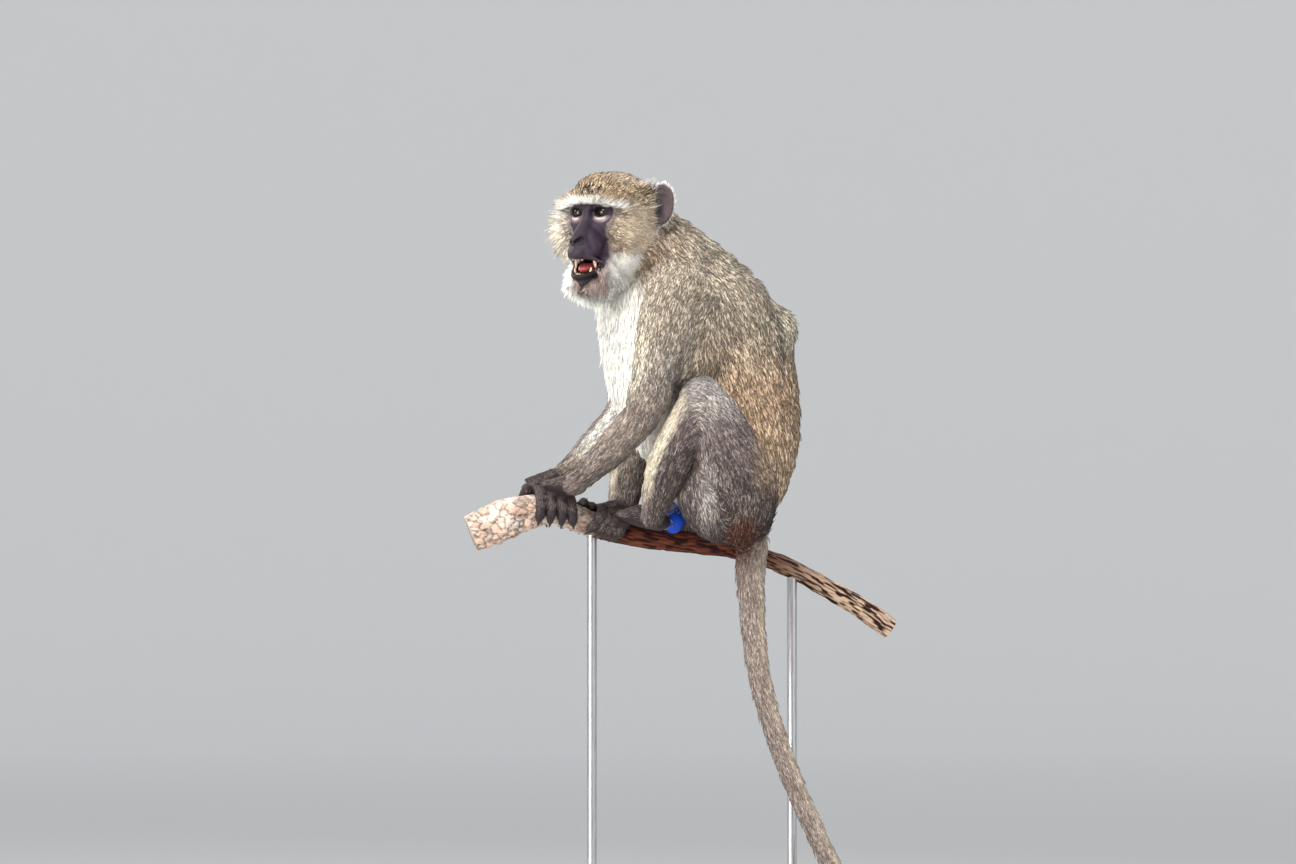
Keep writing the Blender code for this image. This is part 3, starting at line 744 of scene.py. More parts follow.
@dataclass(frozen=True)
class HideFinish:
    """The skin: dry and dull under the coat, with pores and a soft sheen where it is bare."""

    pores: float = 1500.0
    creases: float = 420.0

    def make(self) -> Material:
        """Makes the material."""
        made = Recipe("bare_hide")
        blotch = made.noise(170.0, 4.0)
        made.colour(made.times(made.attribute("tone", "Color"), made.between(blotch, 0.72, 1.28)))
        made.rough(made.attribute("dullness"))
        made.bump(made.cells(self.pores), 0.00022, 0.55)
        made.bump(made.noise(self.creases, 4.0, 0.65), 0.0006, 0.55)
        made.fixed(Specular_IOR_Level=0.24)
        return made.material


@dataclass(frozen=True)
class EyeFinish:
    """A dark brown iris round a black pupil, under a wet clear front."""

    pupil: float = 0.34
    iris: float = 0.74

    def make(self) -> Material:
        """Makes the material."""
        made = Recipe("wet_eye")
        off_axis = made.attribute("off_axis")
        black, ring = srgb(0.02, 0.015, 0.01), srgb(0.09, 0.05, 0.03)
        made.colour(made.ramp(off_axis, [
            (0.0, black), (self.pupil, black), (self.pupil + 0.04, srgb(0.17, 0.065, 0.04)),
            (self.iris - 0.12, srgb(0.29, 0.115, 0.06)), (self.iris - 0.01, ring),
            (self.iris + 0.04, srgb(0.20, 0.13, 0.11)), (1.0, srgb(0.36, 0.27, 0.25)),
        ]))
        made.fixed(Roughness=0.12, Specular_IOR_Level=0.3, Coat_Weight=0.55, Coat_Roughness=0.02)
        return made.material


@dataclass(frozen=True)
class TonedFinish:
    """A plain material whose mottling, roughness and fine relief come from noise."""

    name: str
    colours: tuple[Triple, Triple]
    scale: float
    roughness: tuple[float, float]
    relief: float
    stretch: Triple = (1, 1, 1)
    metallic: float = 0.0
    coat: float = 0.0
    soft: float = 0.0

    def make(self) -> Material:
        """Makes the material."""
        made = Recipe(self.name)
        mottle = made.noise(self.scale, 4.0, 0.6, self.stretch)
        made.colour(made.ramp(mottle, [(0.30, self.colours[0]), (0.70, self.colours[1])]))
        made.rough(made.between(mottle, *self.roughness))
        made.bump(made.noise(self.scale * 2.5, 4.0, 0.65, self.stretch), self.relief, 0.7)
        made.fixed(Metallic=self.metallic, Coat_Weight=self.coat, Subsurface_Weight=self.soft,
                   Subsurface_Scale=0.002)
        return made.material


IVORY = TonedFinish("tooth_ivory", (srgb(0.84, 0.70, 0.54), srgb(0.95, 0.89, 0.80)), 260.0,
                    (0.22, 0.38), 0.0001, coat=0.5)
TONGUE = TonedFinish("tongue_flesh", (srgb(0.60, 0.20, 0.22), srgb(0.79, 0.38, 0.38)), 700.0,
                     (0.22, 0.45), 0.0003, coat=0.45, soft=0.25)
HORN = TonedFinish("claw_horn", (srgb(0.07, 0.06, 0.06), srgb(0.16, 0.14, 0.13)), 400.0,
                   (0.22, 0.42), 0.0001)
STEEL = TonedFinish("brushed_rod", (srgb(0.66, 0.66, 0.67), srgb(0.78, 0.78, 0.79)), 60.0,
                    (0.24, 0.40), 0.00004, stretch=(18, 18, 1), metallic=1.0)


@dataclass(frozen=True)
class WoodFinish:
    """Dark stained board: long grain with pores under a thin satin varnish."""

    def make(self) -> Material:
        """Makes the material."""
        made = Recipe("stained_board")
        grain = made.noise(16.0, 6.0, 0.62, (1, 13, 13))
        pores = made.noise(90.0, 2.0, 0.5, (1, 16, 16))
        made.colour(made.ramp(grain, [
            (0.28, srgb(0.13, 0.09, 0.07)), (0.45, srgb(0.24, 0.16, 0.12)),
            (0.56, srgb(0.18, 0.12, 0.09)), (0.74, srgb(0.31, 0.21, 0.15))]))
        made.rough(made.between(pores, 0.30, 0.52))
        made.bump(pores, 0.00012, 0.5)
        made.fixed(Coat_Weight=0.15, Coat_Roughness=0.25)
        return made.material


@dataclass(frozen=True)
class BarkFinish:
    """Bark that carries its own tones, with fibres and cracks."""

    def make(self) -> Material:
        """Makes the material."""
        made = Recipe("branch_bark")
        fibre = made.noise(190.0, 5.0, 0.7, (0.30, 2.2, 2.2))
        made.colour(made.times(made.attribute("tone", "Color"), made.between(fibre, 0.45, 1.55)))
        made.rough(made.between(fibre, 0.72, 0.95))
        made.bump(fibre, 0.0022, 0.9)
        made.bump(made.noise(900.0, 3.0, 0.6), 0.0004, 0.6)
        made.fixed(Specular_IOR_Level=0.22)
        return made.material


@dataclass(frozen=True)
class FloorFinish:
    """Plain pale studio paper."""

    def make(self) -> Material:
        """Makes the material."""
        made = Recipe("studio_paper")
        made.colour(made.attribute("tone", "Color"))
        made.rough(made.between(made.noise(3.0), 0.80, 0.90))
        return made.material


# --- The perch ---
@dataclass(frozen=True)
class Perch:
    """A cut length of branch: pale, gnarled and flaking at one end, reddish and fibrous after it."""

    stations: Stations = (
        (-0.222, 0.004, 0.617, 0.0190, 0.0190),
        (-0.194, 0.001, 0.628, 0.0205, 0.0195),
        (-0.172, -0.002, 0.637, 0.0185, 0.0185),
        (-0.148, -0.003, 0.641, 0.0155, 0.0155),
        (-0.123, -0.001, 0.635, 0.0135, 0.0130),
        (-0.092, 0.001, 0.624, 0.0120, 0.0120),
        (-0.041, 0.002, 0.612, 0.0108, 0.0108),
        (0.010, 0.000, 0.606, 0.0102, 0.0102),
        (0.044, -0.001, 0.601, 0.0096, 0.0096),
        (0.082, 0.000, 0.590, 0.0090, 0.0090),
        (0.112, 0.002, 0.577, 0.0092, 0.0092),
        (0.143, 0.002, 0.560, 0.0096, 0.0096),
        (0.174, 0.000, 0.542, 0.0102, 0.0102),
        (0.206, -0.002, 0.520, 0.0108, 0.0108),
    )
    around: int = 84
    steps: int = 34
    girth: float = 0.012            # the radius that its bark's pattern is laid out on
    flake: float = 0.0040           # the width of a flake of bark
    flake_shape: Triple = (0.45, 1, 1)

    def at(self, x: float) -> tuple[Array, float]:
        """Its middle and radius at a place along it."""
        rows = curve_between(np.array(self.stations), 8)
        mixed = [np.interp(x, rows[:, 0], rows[:, k]) for k in range(4)]
        return np.array(mixed[:3]), float(mixed[3])

    def build(self) -> Thing:
        """Models the bark and the two sawn ends."""
        rows = curve_between(np.array(self.stations), self.steps)
        along = unit(np.gradient(rows[:, :3], axis=0))
        across = unit(np.array((0, 1, 0)) - along[:, 1:2] * along)
        up = np.cross(along, across)
        turn = full_turn(self.around)
        outward = (across[:, None] * np.cos(turn)[None, :, None]
                   + up[:, None] * np.sin(turn)[None, :, None])
        gaps = np.linalg.norm(np.diff(rows[:, :3], axis=0), axis=1)
        length = np.concatenate([[0], np.cumsum(gaps)])[:, None]
        flat = np.stack(np.broadcast_arrays(length, np.cos(turn) * self.girth,
                                            np.sin(turn) * self.girth), axis=-1).reshape(-1, 3)
        x = np.repeat(rows[:, 0], self.around)
        gnarl = step(-0.085, -0.135, x)
        height = self.relief(flat, gnarl)
        relief = height.reshape(len(rows), self.around, 1)
        branch = mesh_object("branch", *tube_mesh(
            list(rows[:, None, :3] + outward * (rows[:, None, 3:4] + relief))))
        set_tone(branch, "tone", self.tones(flat, x, gnarl, height))
        return branch

    def tones(self, flat: Array, x: Array, gnarl: Array, height: Array) -> Array:
        """The bark's colours, with painted shade in its hollows.

        Args:
            flat: Places along and round the branch.
            x: Where they are along the world's X.
            gnarl: How gnarled each place is, from 0 to 1.
            height: How far the bark stands out there.

        Returns:
            A colour for each place.
        """
        chance, rim = plates(flat * self.flake_shape, self.flake, 7)
        pale = mix(np.broadcast_to(srgb(0.95, 0.89, 0.83), flat.shape),
                   np.array(srgb(0.88, 0.72, 0.63)), step(0.55, 0.95, chance) * 0.8)
        hollow = np.array(srgb(0.42, 0.28, 0.22))
        # painted shade: the rims of the flakes and the low places of the bark darkened
        pale = mix(pale, hollow, step(0.10, 0.0, rim) * 0.7)
        pale = mix(pale, hollow, step(-0.0006, -0.0026, height) * 0.6)
        thread = drift(flat * (0.22, 1, 1), 0.0017, 8)
        # partly painted shade: the fibres darker where the bark lies lower
        red = mix(np.array(srgb(0.16, 0.07, 0.05)), np.array(srgb(0.44, 0.23, 0.16)),
                  step(-0.35, 0.35, thread + 300 * height))
        worn = step(0.05, 0.16, x) * step(-0.3, 0.3, thread)
        red = mix(red, np.array(srgb(0.82, 0.71, 0.61)), worn * 0.9)
        blotch = 0.35 * drift(flat, 0.012, 5) * step(-0.06, -0.11, x)
        return mix(red, pale, np.clip(gnarl + blotch, 0, 1))

    def relief(self, flat: Array, gnarl: Array) -> Array:
        """How far the bark stands out, in metres.

        Args:
            flat: Places along and round the branch.
            gnarl: How gnarled each place is, from 0 to 1.

        Returns:
            A height for each place.
        """
        fibre = drift(flat * (0.20, 1, 1), 0.0023, 1) + 0.5 * drift(flat * (0.3, 1, 1), 0.0011, 2)
        lump = drift(flat * (0.8, 1, 1), 0.011, 3)
        chance, rim = plates(flat * self.flake_shape, self.flake, 7)
        flake = 0.0026 * (chance - 0.5) - 0.0014 * step(0.20, 0.02, rim)
        crack = -np.maximum(0, 0.16 - np.abs(drift(flat * (0.16, 1, 1), 0.0050, 6))) / 0.16
        even = 0.00055 * fibre + 0.0006 * lump + 0.0009 * crack
        rough = 0.0006 * fibre + 0.0018 * lump + flake + 0.0010 * crack
        return even + (rough - even) * gnarl


PERCH = Perch()


# --- The body's clay ---
def mirrored(stations: Stations, side: int) -> list[tuple[float, ...]]:
    """Stations of the left side for either side of the body."""
    return [(s[0], s[1] * -side, *s[2:]) for s in stations]


def reach_out(stations: list[tuple[float, ...]], shift: float, sway: float = 0.0
              ) -> list[tuple[float, ...]]:
    """Moves stations forward little by little towards their end.

    Args:
        stations: The stations.
        shift: How far the last one moves.
        sway: How much further those in the middle move back.

    Returns:
        The moved stations.
    """
    last = len(stations) - 1
    return [(s[0] + shift * i / last + sway * math.sin(math.pi * i / last), *s[1:])
            for i, s in enumerate(stations)]


@dataclass(frozen=True)
class Trunk:
    """Neck, chest, back and rump."""

    ribs: Stations = (     # belly x and z, back x and z, half width
        (-0.084, 0.912, -0.036, 0.950, 0.033),
        (-0.093, 0.880, -0.007, 0.931, 0.041),
        (-0.097, 0.850, 0.027, 0.905, 0.051),
        (-0.098, 0.824, 0.059, 0.876, 0.059),
        (-0.096, 0.800, 0.087, 0.844, 0.064),
        (-0.089, 0.773, 0.108, 0.809, 0.066),
        (-0.076, 0.745, 0.115, 0.774, 0.066),
        (-0.056, 0.714, 0.119, 0.740, 0.066),
        (-0.034, 0.684, 0.114, 0.706, 0.067),
        (-0.014, 0.660, 0.101, 0.678, 0.064),
        (0.004, 0.640, 0.082, 0.652, 0.056),
        (0.012, 0.624, 0.072, 0.632, 0.043),
    )
    coat: float = 0.0080

    def masses(self) -> list[Mass]:
        """Its clay."""
        rows = []
        for belly_x, belly_z, back_x, back_z, width in self.ribs:
            depth = math.hypot(belly_x - back_x, belly_z - back_z) / 2
            rows.append(((belly_x + back_x) / 2, 0, (belly_z + back_z) / 2, depth, width))
        made = [Limb(Zone.TRUNK, rows, coat=self.coat, steps=2),
                Limb(Zone.NECK, rows[:3], coat=self.coat, steps=2),
                Ball(Zone.TRUNK, (0.088, 0, 0.821), (0.017, 0.024, 0.021), blend=0.012)]
        for side in (LEFT, RIGHT):
            made.append(Ball(Zone.TRUNK, (0.032, side * 0.030, 0.842), (0.041, 0.026, 0.036),
                             (0, 35, 0), blend=0.012))
        return made


@dataclass(frozen=True)
class Arm:
    """Upper arm, forearm and a hand that holds the perch."""

    side: int
    stations: Stations = (
        (-0.018, -0.046, 0.862, 0.030, 0.024),
        (-0.034, -0.062, 0.835, 0.031, 0.026),
        (-0.047, -0.071, 0.795, 0.026, 0.024),
        (-0.056, -0.075, 0.758, 0.022, 0.021),
        (-0.066, -0.072, 0.733, 0.020, 0.020),
        (-0.086, -0.060, 0.708, 0.019, 0.018),
        (-0.108, -0.046, 0.683, 0.016, 0.014),
        (-0.124, -0.035, 0.667, 0.0125, 0.012),
    )
    coat: float = 0.0034
    elbow: int = 3          # the station at the elbow
    fold: Triple = (-0.0042, -0.0631, 0.812)        # the muscle from the upper arm to the flank
    fold_radii: Triple = (0.0266, 0.0106, 0.0446)
    fold_turn: tuple[float, float] = (17, 23)       # its lean and its swing, in degrees
    finger: tuple[float, ...] = (0.0053, 0.0049, 0.0047, 0.0042, 0.0034)
    thumb: tuple[float, ...] = (0.0054, 0.0049, 0.0038)

    @property
    def palm_x(self) -> float:
        """Where the palm lies along the perch."""
        return -0.136 if self.side == LEFT else -0.146

    def masses(self) -> list[Mass]:
        """Its clay, without the hand."""
        rows = mirrored(self.stations, self.side)
        if self.side == RIGHT:
            rows = reach_out(rows, -0.008, 0.015)
        x, y, z = self.fold
        lean, swing = self.fold_turn
        return [Limb(Zone.UPPER_ARM, rows[:self.elbow + 1], (0.2, 1, 0), self.coat, blend=0.014),
                Limb(Zone.FOREARM, rows[self.elbow:], (0.2, 1, 0), self.coat, blend=0.008),
                Ball(Zone.TRUNK, (x, y * -self.side, z), self.fold_radii,
                     (0, lean, swing * -self.side), blend=0.014)]

    def digits(self) -> list[Array]:
        """Rows of x, y, z and radius for the four fingers and the thumb."""
        made = []
        for i, lowest in enumerate((-28, -38, -38, -28)):
            made.append(digit(self.palm_x - 0.0190 + 0.0098 * i, -0.003 + 0.002 * i,
                              (72, 44, 14, -14, lowest), self.finger, self.side, 0.0015))
        thumb = digit(self.palm_x + 0.012, -0.004, (80, 128, 168), self.thumb, self.side, 0.001)
        return [*made, thumb]

    def hand(self) -> list[Mass]:
        """The hand's clay."""
        middle, bark = PERCH.at(self.palm_x)
        top = middle[2] + bark
        wrist = np.array((self.palm_x + 0.014, self.side * 0.034, top + 0.0150))
        knuckles = np.array((self.palm_x - 0.004, self.side * 0.016, top + 0.0055))
        half = (wrist + knuckles) / 2
        palm = [(*wrist, 0.0100, 0.0098), (*half, 0.0082, 0.0138), (*knuckles, 0.0060, 0.0178)]
        return [Limb(Zone.HAND, palm, (1, 0.35 * self.side, 0), blend=0.004),
                *digit_masses(Zone.HAND, self.digits())]


@dataclass(frozen=True)
class Leg:
    """Thigh, shank and a foot that holds the perch."""

    side: int
    thigh: Stations = (    # from the hip to the knee
        (0.040, -0.048, 0.632, 0.0340, 0.0310),
        (0.037, -0.056, 0.657, 0.0420, 0.0330),
        (0.025, -0.068, 0.690, 0.0375, 0.0300),
        (0.010, -0.079, 0.724, 0.0300, 0.0260),
        (-0.004, -0.084, 0.750, 0.0230, 0.0225),
    )
    shank: Stations = (
        (-0.006, -0.083, 0.750, 0.0225, 0.0215),
        (-0.019, -0.078, 0.725, 0.0245, 0.0215),
        (-0.034, -0.066, 0.690, 0.0240, 0.0190),
        (-0.043, -0.050, 0.655, 0.0190, 0.0155),
        (-0.046, -0.037, 0.634, 0.0140, 0.0130),
    )
    hamstring: Triple = (0.001, -0.052, 0.650)      # what fills the fold behind the knee
    hamstring_radii: Triple = (0.0216, 0.0226, 0.0386)
    coat: float = 0.0034
    toe: tuple[float, ...] = (0.0051, 0.0049, 0.0044, 0.0036)
    thumb: tuple[float, ...] = (0.0054, 0.0049, 0.0038)

    @property
    def ball_x(self) -> float:
        """Where the ball of the foot lies along the perch."""
        return -0.072 if self.side == LEFT else -0.090

    def masses(self) -> list[Mass]:
        """Its clay, without the foot."""
        shank = mirrored(self.shank, self.side)
        if self.side == RIGHT:
            shank = reach_out(shank, -0.018)
        x, y, z = self.hamstring
        return [Limb(Zone.THIGH, mirrored(self.thigh, self.side), coat=self.coat, blend=0.010),
                Ball(Zone.THIGH, (x, y * -self.side, z), self.hamstring_radii, (0, -22, 0),
                     blend=0.012),
                Limb(Zone.SHANK, shank, coat=self.coat, blend=0.004)]

    def digits(self) -> list[Array]:
        """Rows of x, y, z and radius for the four toes and the big toe."""
        toes = [digit(self.ball_x + 0.008 - 0.0085 * i, -0.016, (66 + 4 * i, 32, -4, -30),
                      self.toe, self.side, 0.001) for i in range(4)]
        thumb = digit(self.ball_x + 0.016, -0.012, (84, 122, 160), self.thumb, self.side, 0.001)
        return [*toes, thumb]

    def foot(self) -> list[Mass]:
        """The foot's clay."""
        ball_middle, ball_bark = PERCH.at(self.ball_x)
        heel_x = self.ball_x + 0.036
        heel_middle, heel_bark = PERCH.at(heel_x)
        sole = heel_middle[2] + heel_bark
        heel = np.array((heel_x, self.side * 0.024, sole + 0.0065))
        instep = np.array((heel_x - 0.016, self.side * 0.022, sole + 0.0120))
        knuckles = np.array((self.ball_x, self.side * 0.017, ball_middle[2] + ball_bark + 0.0045))
        bridge = instep + (knuckles - instep) * 0.6
        rows = [(*heel, 0.0092, 0.0108), (*instep, 0.0115, 0.0122), (*bridge, 0.0083, 0.0128),
                (*knuckles, 0.0060, 0.0124)]
        return [Limb(Zone.FOOT, rows, blend=0.004), *digit_masses(Zone.FOOT, self.digits())]


def digit(start: float, slant: float, angles: tuple[float, ...], radii: tuple[float, ...],
          side: int, stand_off: float) -> Array:
    """A finger or toe bent round the perch.

    Args:
        start: Where its root lies along the perch.
        slant: How far its tip lies from there.
        angles: Where its joints are round the perch, in degrees: 90 on top, 0 at the side.
        radii: Its radius at each joint.
        side: The side of the body.
        stand_off: How far its root stands off the bark.

    Returns:
        Rows of x, y, z and radius.
    """
    rows = []
    for i, (angle, radius) in enumerate(zip(angles, radii)):
        middle, bark = PERCH.at(start + slant * i / (len(angles) - 1))
        reach = bark * 1.04 + radius * 0.80 + (0 if i else stand_off)
        turn = math.radians(angle)
        spoke = np.array((0, side * math.cos(turn), math.sin(turn)))
        rows.append((*(middle + spoke * reach), radius))
    return np.array(rows)


def digit_masses(zone: Zone, digits: list[Array]) -> list[Mass]:
    """Fingers or toes with their knuckles.

    Args:
        zone: What part of the body they are.
        digits: Rows of x, y, z and radius for each.

    Returns:
        Their clay.
    """
    made = []
    for rows in digits:
        made.append(Limb(zone, [(*r[:3], r[3], r[3]) for r in rows], (1, 0, 0), steps=3,
                         blend=0.0016))
        for row in rows[1:-1]:
            made.append(Ball(zone, tuple(row[:3]), (row[3] * 1.10,) * 3, blend=0.003))
    return made


@dataclass(frozen=True)
class Tail:
    """The long tail, which hangs over the perch's near side."""

    stations: Stations = (
        (0.060, -0.004, 0.640, 0.0195, 0.0195),
        (0.058, -0.022, 0.612, 0.0185, 0.0180),
        (0.054, -0.035, 0.575, 0.0160, 0.0155),
        (0.056, -0.037, 0.530, 0.0138, 0.0138),
        (0.062, -0.039, 0.475, 0.0125, 0.0125),
        (0.077, -0.041, 0.420, 0.0118, 0.0118),
        (0.098, -0.042, 0.365, 0.0115, 0.0115),
        (0.122, -0.042, 0.312, 0.0113, 0.0113),
        (0.146, -0.041, 0.262, 0.0111, 0.0111),
        (0.163, -0.039, 0.212, 0.0109, 0.0109),
        (0.172, -0.037, 0.162, 0.0106, 0.0106),
        (0.173, -0.035, 0.114, 0.0098, 0.0098),
        (0.168, -0.034, 0.078, 0.0064, 0.0064),
    )
    coat: float = 0.0028

    def masses(self) -> list[Mass]:
        """Its clay."""
        return [Limb(Zone.TAIL, list(self.stations), coat=self.coat, blend=0.010)]


@dataclass(frozen=True)
class Head:
    """Skull, face, jaws and ears. Sizes are in millimetres in the head's own frame."""

    eye_out: float = 14.5
    eye_back: float = -7.5
    eye_radius: float = 8.7
    nostril: tuple[Triple, ...] = ((27.8, 1.4, -31.8), (25.4, 3.9, -29.2), (21.8, 7.0, -26.0))
    lower_lip: tuple[Triple, ...] = ((2, -15.4, -53.0), (9.0, -12.8, -59.4), (16.0, -7.4, -63.6),
                                     (19.2, 0, -65.0), (16.0, 7.4, -63.6), (9.0, 12.8, -59.4),
                                     (2, 15.4, -53.0))

    def ball(self, zone: Zone, middle: Triple, radii: Triple, turn: Triple = (0, 0, 0),
             blend: float = 5.0) -> Ball:
        """A mass on the middle of the head."""
        return Ball(zone, tuple(c * MM for c in middle), tuple(r * MM for r in radii), turn, HEAD,
                    blend * MM)

    def pair(self, zone: Zone, middle: Triple, radii: Triple, turn: Triple = (0, 0, 0),
             blend: float = 5.0) -> list[Mass]:
        """The same mass on both sides of the head."""
        x, y, z = middle
        rx, ry, rz = turn
        return [self.ball(zone, (x, y, z), radii, (rx, ry, rz), blend),
                self.ball(zone, (x, -y, z), radii, (-rx, ry, -rz), blend)]

    def cord(self, points: list[Triple], radii: list[float], blend: float = 3.0,
             zone: Zone = Zone.HEAD) -> Limb:
        """A rounded ridge through points."""
        rows = [(*from_head(p), r * MM, r * MM) for p, r in zip(points, radii)]
        return Limb(zone, rows, tuple(HEAD_TURN[:, 2] * 0.9 + HEAD_TURN[:, 0] * 0.3),
                    blend=blend * MM, steps=3)

    def both(self, points: list[Triple], radii: list[float], blend: float = 3.0,
             zone: Zone = Zone.HEAD) -> list[Mass]:
        """The same ridge on both sides of the head."""
        flipped = [(x, -y, z) for x, y, z in points]
        return [self.cord(points, radii, blend, zone), self.cord(flipped, radii, blend, zone)]

    def skull(self) -> list[Mass]:
        """The skull and the soft parts of the face, before the hollows."""
        zone = Zone.HEAD
        made = [
            self.ball(zone, (-43, 0, 5), (45.5, 38.0, 34.6), blend=8),      # cranium
            self.ball(zone, (-20, 0, 9), (25.5, 31, 27.5), blend=8),        # forehead
            self.ball(zone, (-52, 0, -12), (32, 33, 29), blend=8),          # nape
            self.ball(zone, (-12, 0, -8), (17, 25, 22), blend=6),           # upper face
            self.ball(zone, (3, 0, -31), (20.5, 15.0, 17.5), (0, 16, 0)),   # upper jaw
            self.ball(zone, (12.5, 0, -40), (16.5, 13.4, 8.6), (0, 8, 0)),  # upper lip
            self.cord([(-2, 0, 2), (8.5, 0, -11.5), (19.0, 0, -24.5)], [6.0, 4.9, 5.6], 5),
            self.cord([(-15, -33, 11.5), (-3, -20, 13), (3.0, 0, 11.5), (-3, 20, 13),
                       (-15, 33, 11.5)], [5.0, 5.4, 4.8, 5.4, 5.0], 5),
            self.ball(zone, (23.6, 0, -28.6), (5.0, 5.0, 4.2), blend=4),    # tip of the nose
            self.ball(zone, (-30, 0, -52), (27, 22, 23), blend=8),          # throat
        ]
        made += self.pair(zone, (-10, 20, -13), (11, 9, 9))                 # cheek bone
        made += self.pair(zone, (-29, 24.5, -16), (25, 16.5, 22), blend=9)  # chewing muscle
        made += self.pair(zone, (-27, 19, -40), (18, 13.5, 18), blend=7)    # jowl
        made += self.pair(Zone.NECK, (-60, 22, -36), (27, 21, 27), blend=14)
        made += self.pair(zone, (20.3, 5.0, -29.3), (4.4, 3.3, 4.0), blend=2.5)
        return made

    def hollows(self) -> list[Mass]:
        """Eye sockets and nostrils."""
        made = self.pair(Zone.HEAD, (2.5, 15.0, -1.0), (9.0, 10.5, 7.6), (0, 0, 10), blend=4)
        made += self.both(list(self.nostril), [1.3, 2.0, 1.2], 1.0)
        made += self.both([(12, 12.5, -15), (16, 10.5, -24), (15, 14, -35)], [1.5, 1.7, 1.3], 4)
        return made

    def lids(self) -> list[Mass]:
        """Lids and the pouches under the eyes."""
        eye = (self.eye_back, self.eye_out, 0)
        made = self.pair(Zone.HEAD, eye, (self.eye_radius + 1.5,) * 3, blend=3)
        made += self.both([(1.0, 6.5, -1.5), (3.2, 9.5, 4.2), (3.0, 15, 5.9), (-0.5, 20.5, 3.6),
                           (-3.6, 23.0, -0.6)], [0.9, 1.3, 1.5, 1.3, 0.9], 1.6)
        made += self.both([(1.2, 6.6, -2.4), (3.0, 10, -5.6), (2.6, 15, -7.0), (-0.6, 20, -5.2),
                           (-3.6, 23.0, -1.2)], [0.8, 1.5, 1.9, 1.5, 0.8], 1.8)
        return made

    def eye_slits(self) -> list[Mass]:
        """The almond between each pair of lids."""
        return self.pair(Zone.HEAD, (2.0, 14.5, -0.3), (7.2, 5.9, 3.9), (8, 0, 10), 0.8)

    def jaw(self) -> list[Mass]:
        """The lower jaw, with its lip and chin."""
        zone = Zone.HEAD
        made = [
            self.ball(zone, (5.5, 0, -68.0), (16.0, 12.4, 8.0), (0, 22, 0), 5),
            self.ball(zone, (-15, 0, -69), (23, 16.5, 12.5), (0, 22, 0), 6),
        ]
        made += self.pair(zone, (-10, 13.5, -59), (16, 7.0, 11), (0, 12, 0), 5)
        return made

    def mouth(self) -> list[Mass]:
        """The space inside the open mouth."""
        return [self.ball(Zone.HEAD, (8.0, 0, -53.8), (22.0, 13.2, 8.8), (0, 10, 0), 2.5),
                self.ball(Zone.HEAD, (-6, 0, -52), (16, 10.5, 8.5), blend=2)]

    def lips(self) -> list[Mass]:
        """The rims of both lips, from corner to corner."""
        upper = [(2, -16.2, -50), (11, -13.2, -46.8), (21, -8.2, -44.6), (26.0, 0, -43.8),
                 (21, 8.2, -44.6), (11, 13.2, -46.8), (2, 16.2, -50)]
        return [self.cord(upper, [1.6, 2.0, 2.1, 2.1, 2.1, 2.0, 1.6], 2.2),
                self.cord(list(self.lower_lip), [1.6, 2.3, 2.7, 2.8, 2.7, 2.3, 1.6], 3.0)]

    def ear_frame(self, side: int) -> Matrix:
        """The frame of an ear: +X forward, +Y inward and +Z up its length."""
        turned = Euler((0, math.radians(-8), math.radians(side * 41))).to_matrix().to_4x4()
        return HEAD @ Matrix.Translation((-0.0585, side * -0.0450, 0.0072)) @ turned

    def ears(self) -> tuple[list[Mass], list[Mass], list[Mass]]:
        """The ears' shells, the cups to hollow out, and the folds in them."""
        shells, cups, folds = [], [], []
        for side in (LEFT, RIGHT):
            place = self.ear_frame(side)
            shells.append(Ball(Zone.EAR, (0, 0, 0), (0.0138, 0.0058, 0.0204), place=place,
                               blend=0.0015))
            cups.append(Ball(Zone.EAR, (0.0010, -side * 0.0052, 0), (0.0119, 0.0068, 0.0182),
                             place=place, blend=0.001))
            rim = [(0.0133 * math.cos(a), side * -0.0016, 0.0199 * math.sin(a))
                   for a in np.radians(np.linspace(-100, 150, 9))]
            fold = [(0.0070 * math.cos(a) - 0.001, side * -0.0002, 0.0120 * math.sin(a) + 0.001)
                    for a in np.radians(np.linspace(-60, 120, 6))]
            for line, radius in ((rim, 0.0017), (fold, 0.0014)):
                rows = [(*(place @ Vector(p)), radius, radius) for p in line]
                folds.append(Limb(Zone.EAR, rows, tuple(HEAD_TURN[:, 1]), steps=2, blend=0.0014))
        return shells, cups, folds


# --- Skin ---
FLESH = ("head", "lower_jaw", "left_ear", "right_ear", "neck", "chest", "loins", "scrotum",
         "tail_base", "tail_middle", "tail_tip",
         *(f"{name}_{part}" for name in SIDE_NAMES.values()
           for part in ("upper_arm", "forearm", "hand", "thigh", "shank", "foot")))


